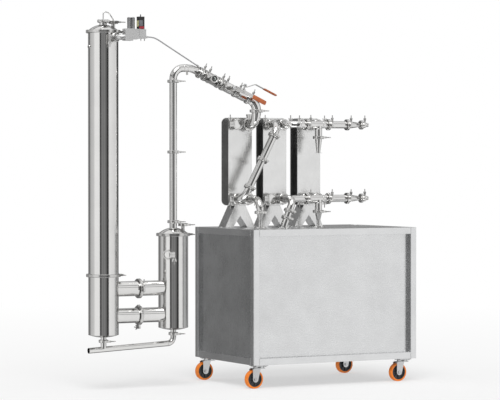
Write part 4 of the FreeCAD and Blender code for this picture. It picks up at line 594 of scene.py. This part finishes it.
def manifold_beads(bm):
    tee_x = PORT_X + 2 * EXCHANGER_PITCH
    for z in (PORT_TOP, PORT_LOW):
        bead(bm, cab(tee_x, CROSSOVER_Y + TEE_REACH, z), FRONT, RADIUS_2)
        bead(bm, cab(tee_x - TEE_REACH, CROSSOVER_Y, z), RIGHT, RADIUS_2)
        bead(bm, cab(MANIFOLD_DROP_X + TEE_REACH, CROSSOVER_Y, z), RIGHT, RADIUS_2)
        bead(bm, cab(MANIFOLD_DROP_X, CROSSOVER_Y, z - TEE_REACH), UP, RADIUS_2)
    elbow_x = PORT_X + EXCHANGER_PITCH + PORT_GAP
    bead(bm, cab(elbow_x, CROSSOVER_Y + ELBOW_RADIUS, PORT_TOP), FRONT, RADIUS_2)
    bead(bm, cab(elbow_x + ELBOW_RADIUS, CROSSOVER_Y, PORT_TOP), RIGHT, RADIUS_2)


def header_beads(bm):
    low = cab(VESSEL_X - HEADER_WELD, VAPOUR_Y, HEADER_START_Z - HEADER_WELD * HEADER_FALL)
    bead(bm, low, (1, 0, HEADER_FALL), RADIUS_15)
    bead(bm, cab(VESSEL_X, VAPOUR_Y, HEADER_START_Z + HEADER_WELD), UP, RADIUS_15)


bm = bmesh.new()
riser_and_gooseneck_beads(bm)
crossover_and_drop_beads(bm)
manifold_beads(bm)
header_beads(bm)
piece("weld_beads", bm, "clamp_steel")

# Control box: a front panel with a window and keys, a red band and a pale tag, all bare
BOX_LEFT, BOX_FRONT_Y = -749.0, 219.0
PANEL = (2, 28, 20, 58)
WINDOW = (4, 26, 40, 55)
RED_BAND = (3, 37, 2, 17)
KEY_COUNT, KEY_FIRST, KEY_PITCH, KEY_WIDTH, KEY_LOW, KEY_HIGH = 3, 4.5, 7.4, 5.0, 25, 33
PANEL_THICK, WINDOW_RISE, KEY_RISE, BAND_THICK = 1.0, 0.5, 1.2, 0.9
TAG_LOW, TAG_HIGH = (-1, -14, 15), (0, 12, 56)


def on_face(bm, rectangle, under, rise):
    """A flat block on the box's front, as (left, right, low, high) from its lower left corner."""
    left, right, low, high = rectangle
    block(bm, cab(BOX_LEFT + left, BOX_FRONT_Y - under - rise, CONTROL_TOP_Z + low),
          cab(BOX_LEFT + right, BOX_FRONT_Y - under, CONTROL_TOP_Z + high))


bm = bmesh.new()
on_face(bm, PANEL, 0, PANEL_THICK)
on_face(bm, WINDOW, PANEL_THICK, WINDOW_RISE)
for k in range(KEY_COUNT):
    left = KEY_FIRST + KEY_PITCH * k
    on_face(bm, (left, left + KEY_WIDTH, KEY_LOW, KEY_HIGH), PANEL_THICK, KEY_RISE)
piece("control_face", bm, "face_grey", bevel=0.0004)
bm = bmesh.new()
on_face(bm, RED_BAND, 0, BAND_THICK)
piece("control_red_band", bm, "red_band", bevel=0.0004)
bm = bmesh.new()
block(bm, *(cab(BOX_LEFT + x, CONTROL_Y + y, CONTROL_TOP_Z + z) for x, y, z in (TAG_LOW, TAG_HIGH)))
piece("control_side_tag", bm, "pale_tag", bevel=0.0003)

# Control valve and junction box: a ribbed sleeve, cover screws and a cover
ACTUATOR_X, SLEEVE_LOW_Z = -798.0, 2417.0
SLEEVE_IN, SLEEVE_OUT, SLEEVE_RIB = 0.0246, 0.0252, 0.0262
SLEEVE_HEIGHT, SLEEVE_EDGE = 0.0726, 0.0004
SLEEVE_RIBS, FIRST_RIB, SLEEVE_PITCH = 9, 0.006, 0.0076
SLEEVE_RIB_SLANT, SLEEVE_RIB_WIDTH = 0.0008, 0.0034
JUNCTION_XS, JUNCTION_ZS, JUNCTION_FRONT_Y = (-754.0, -694.0), (2353.0, 2416.0), 221.0
SCREW_XS, SCREW_ZS = (-749.0, -699.0), (2359.0, 2409.0)
COVER_SCREW = (0.0030, 0.0020, (0.0008, 0.0008))
COVER_SIDE, COVER_END, COVER_THICK = 9.0, 11.0, 1.4


def actuator_ribs():
    profile = [(SLEEVE_IN, 0.0), (SLEEVE_OUT, SLEEVE_EDGE)]
    for k in range(SLEEVE_RIBS):
        low = FIRST_RIB + SLEEVE_PITCH * k
        high = low + SLEEVE_RIB_WIDTH
        profile += [(SLEEVE_OUT, low), (SLEEVE_RIB, low + SLEEVE_RIB_SLANT),
                    (SLEEVE_RIB, high - SLEEVE_RIB_SLANT), (SLEEVE_OUT, high)]
    profile += [(SLEEVE_OUT, SLEEVE_HEIGHT - SLEEVE_EDGE), (SLEEVE_IN, SLEEVE_HEIGHT)]
    bm = bmesh.new()
    lathe(bm, profile, frame_matrix(cab(ACTUATOR_X, CONTROL_Y, SLEEVE_LOW_Z), UP), 64)
    piece("actuator_ribs", bm, "actuator_steel")


actuator_ribs()
bm = bmesh.new()
for x in SCREW_XS:
    for z in SCREW_ZS:
        disc(bm, *COVER_SCREW, frame_matrix(cab(x, JUNCTION_FRONT_Y, z), FRONT), 20)
piece("junction_screws", bm, "zinc_steel")
bm = bmesh.new()
block(bm, cab(JUNCTION_XS[0] + COVER_SIDE, JUNCTION_FRONT_Y - COVER_THICK, JUNCTION_ZS[0] + COVER_END),
      cab(JUNCTION_XS[1] - COVER_SIDE, JUNCTION_FRONT_Y, JUNCTION_ZS[1] - COVER_END))
piece("junction_cover", bm, "valve_alloy", bevel=0.0006)

# Casters: spokes in the hubs, and a nut and washer at each end of the axles
SPOKE_COUNT, SPOKE_HALF_THICK = 8, 0.0016
SPOKE_START, SPOKE_END = 0.0185, 0.0452
SPOKE_IN, SPOKE_OUT = 0.0080, 0.0162
FORK_FACE = 0.027
AXLE_HOLE, WASHER_RADIUS, WASHER_THICK = 0.0061, 0.0125, 0.0014
AXLE_NUT_RADIUS, AXLE_NUT_HEIGHT, AXLE_NUT_CHAMFER = 0.0104, 0.0062, (0.0012, 0.0010)


def hub_spokes(number, axle):
    bm = bmesh.new()
    for side in (-1, 1):
        near, far = sorted((side * SPOKE_IN, side * SPOKE_OUT))
        for k in range(SPOKE_COUNT):
            spin = Matrix.Translation(axle) @ Matrix.Rotation(math.tau * k / SPOKE_COUNT, 4, "Y")
            block(bm, (SPOKE_START, near, -SPOKE_HALF_THICK), (SPOKE_END, far, SPOKE_HALF_THICK), spin)
    piece("hub_spokes_%d" % number, bm, "wheel_hub", "wheel_%d" % number, bevel=0.0004)


def axle_nuts(number, axle):
    bm = bmesh.new()
    for side in (FRONT, -FRONT):
        washer = frame_matrix(axle + side * FORK_FACE, side)
        lathe(bm, [(AXLE_HOLE, 0), (WASHER_RADIUS, 0), (WASHER_RADIUS, WASHER_THICK),
                   (AXLE_HOLE, WASHER_THICK)], washer, 32)
        nut = frame_matrix(axle + side * (FORK_FACE + WASHER_THICK), side)
        narrow, low = AXLE_NUT_RADIUS - AXLE_NUT_CHAMFER[0], AXLE_NUT_HEIGHT - AXLE_NUT_CHAMFER[1]
        lathe(bm, [(AXLE_HOLE, 0), (AXLE_NUT_RADIUS, 0), (AXLE_NUT_RADIUS, low), (narrow, AXLE_NUT_HEIGHT),
                   (AXLE_HOLE, AXLE_NUT_HEIGHT)], nut, 6)
    piece("axle_nuts_%d" % number, bm, "zinc_steel", "caster_%d" % number)


for number, (x, y) in enumerate([(x, y) for y in CASTER_YS for x in CASTER_XS], 1):
    axle = cab(x - CASTER_TRAIL, y, WHEEL_RADIUS)
    hub_spokes(number, axle)
    axle_nuts(number, axle)


# World: white to the camera, studio panels to the metal, plain soft light to everything else
TOWARD_CAMERA = (-VIEW_X, -VIEW_Y, 0.0)
TOWARD_RIGHT = (VIEW_Y, -VIEW_X, 0.0)
BANDS = [(-180, 0.34), (-130, 0.24), (-125, 0.16), (-118, 0.16), (-112, 0.56), (-72, 0.72), (-64, 1.0),
         (-26, 1.0), (-22, 0.05), (-13, 0.07), (-9, 0.28), (3, 0.20), (12, 0.26), (29, 0.13), (33, 0.035),
         (43, 0.04), (47, 0.96), (78, 0.90), (104, 0.82), (122, 0.90), (127, 0.10), (152, 0.06), (180, 0.30)]
LIFTS = [(0.0, 1.0), (0.26, 1.0), (0.31, 0.30), (0.37, 0.30), (0.42, 1.0), (0.62, 1.0), (0.67, 0.30),
         (0.72, 0.34), (0.78, 1.0), (1.0, 1.0)]
OVERHEAD_START, OVERHEAD_END, OVERHEAD_LEVEL = 0.30, 0.80, 0.95
SOFT_LEVEL = 0.62
WHITE = (1.0, 1.0, 1.0)


def studio_world():
    """Bands are (degrees round from the camera, brightness), and lifts are (direction's rise, factor)."""
    world = bpy.data.worlds.new("studio")
    bpy.context.scene.world = world
    world.use_nodes = True
    n = Nodes(world.node_tree)
    direction = n.new("ShaderNodeTexCoord").outputs["Generated"]

    def along(vector):
        node = n.new("ShaderNodeVectorMath", {0: direction, 1: vector}, operation="DOT_PRODUCT")
        return node.outputs["Value"]

    turn = n.calc("ARCTAN2", along(TOWARD_RIGHT), along(TOWARD_CAMERA))
    turn = n.calc("MULTIPLY_ADD", turn, 1 / math.tau, 0.5)
    bands = n.ramp(turn, [((angle + 180) / 360, level) for angle, level in BANDS])
    rise = along(tuple(UP))
    lifts = n.ramp(rise, LIFTS)
    overhead = n.ramp(rise, [(OVERHEAD_START, 0.0), (OVERHEAD_END, 1.0)])
    studio = n.mix(overhead, bands, (OVERHEAD_LEVEL,) * 3)
    studio = n.new("ShaderNodeVectorMath", {0: studio, 1: lifts}, operation="MULTIPLY").outputs[0]
    path = n.new("ShaderNodeLightPath")
    plain = n.mix(path.outputs["Is Glossy Ray"], (SOFT_LEVEL,) * 3, studio)
    seen = n.calc("MAXIMUM", path.outputs["Is Camera Ray"], path.outputs["Is Transmission Ray"])
    background = n.new("ShaderNodeBackground", {"Color": n.mix(seen, plain, WHITE)})
    n.new("ShaderNodeOutputWorld", {"Surface": background.outputs[0]})


studio_world()

# Floor, fading into the white backdrop, and lamp
FLOOR_HALF_SIZE = 40.0
FADE_START, FADE_END = 2.2, 9.0
FLOOR_DIFFUSE, FLOOR_GLOW = 0.45, 0.485
SUN_ENERGY = 1.5
SUN_ANGLE = math.radians(35)
SUN_DIRECTION = (0.35, 0.6, -1.0)


def floor_material():
    made, n, shader = material("floor_white")
    place = object_place(n)
    distance = n.new("ShaderNodeVectorMath", {0: place}, operation="LENGTH").outputs["Value"]
    far = n.calc("DIVIDE", n.calc("SUBTRACT", distance, FADE_START), FADE_END - FADE_START, clamp=True)
    cloud = n.noise(place, FLOOR_SCALE, detail=3.0, roughness=0.5)
    near_color = n.ramp(cloud, [(0.3, FLOOR_DIFFUSE * 0.99), (0.7, FLOOR_DIFFUSE)])
    glow = n.calc("ADD", n.calc("MULTIPLY", far, 1.0 - FLOOR_GLOW), FLOOR_GLOW)
    connect(n, shader, Base_Color=n.mix(far, near_color, (0.0, 0.0, 0.0)), Roughness=1.0,
            Specular_IOR_Level=0.0, Emission_Color=WHITE, Emission_Strength=glow)
    return made


def add_floor():
    half = FLOOR_HALF_SIZE
    corners = [(-half, -half, 0), (half, -half, 0), (half, half, 0), (-half, half, 0)]
    mesh = bpy.data.meshes.new("floor")
    mesh.from_pydata(corners, [], [(0, 1, 2, 3)])
    mesh.materials.append(floor_material())
    floor = bpy.data.objects.new("floor", mesh)
    bpy.context.scene.collection.objects.link(floor)
    floor.visible_glossy = False


def add_sun():
    data = bpy.data.lights.new("sun", "SUN")
    data.energy = SUN_ENERGY
    data.angle = SUN_ANGLE
    sun = bpy.data.objects.new("sun", data)
    sun.rotation_mode = "QUATERNION"
    sun.rotation_quaternion = Vector(SUN_DIRECTION).to_track_quat("-Z", "Y")
    bpy.context.scene.collection.objects.link(sun)


add_floor()
add_sun()
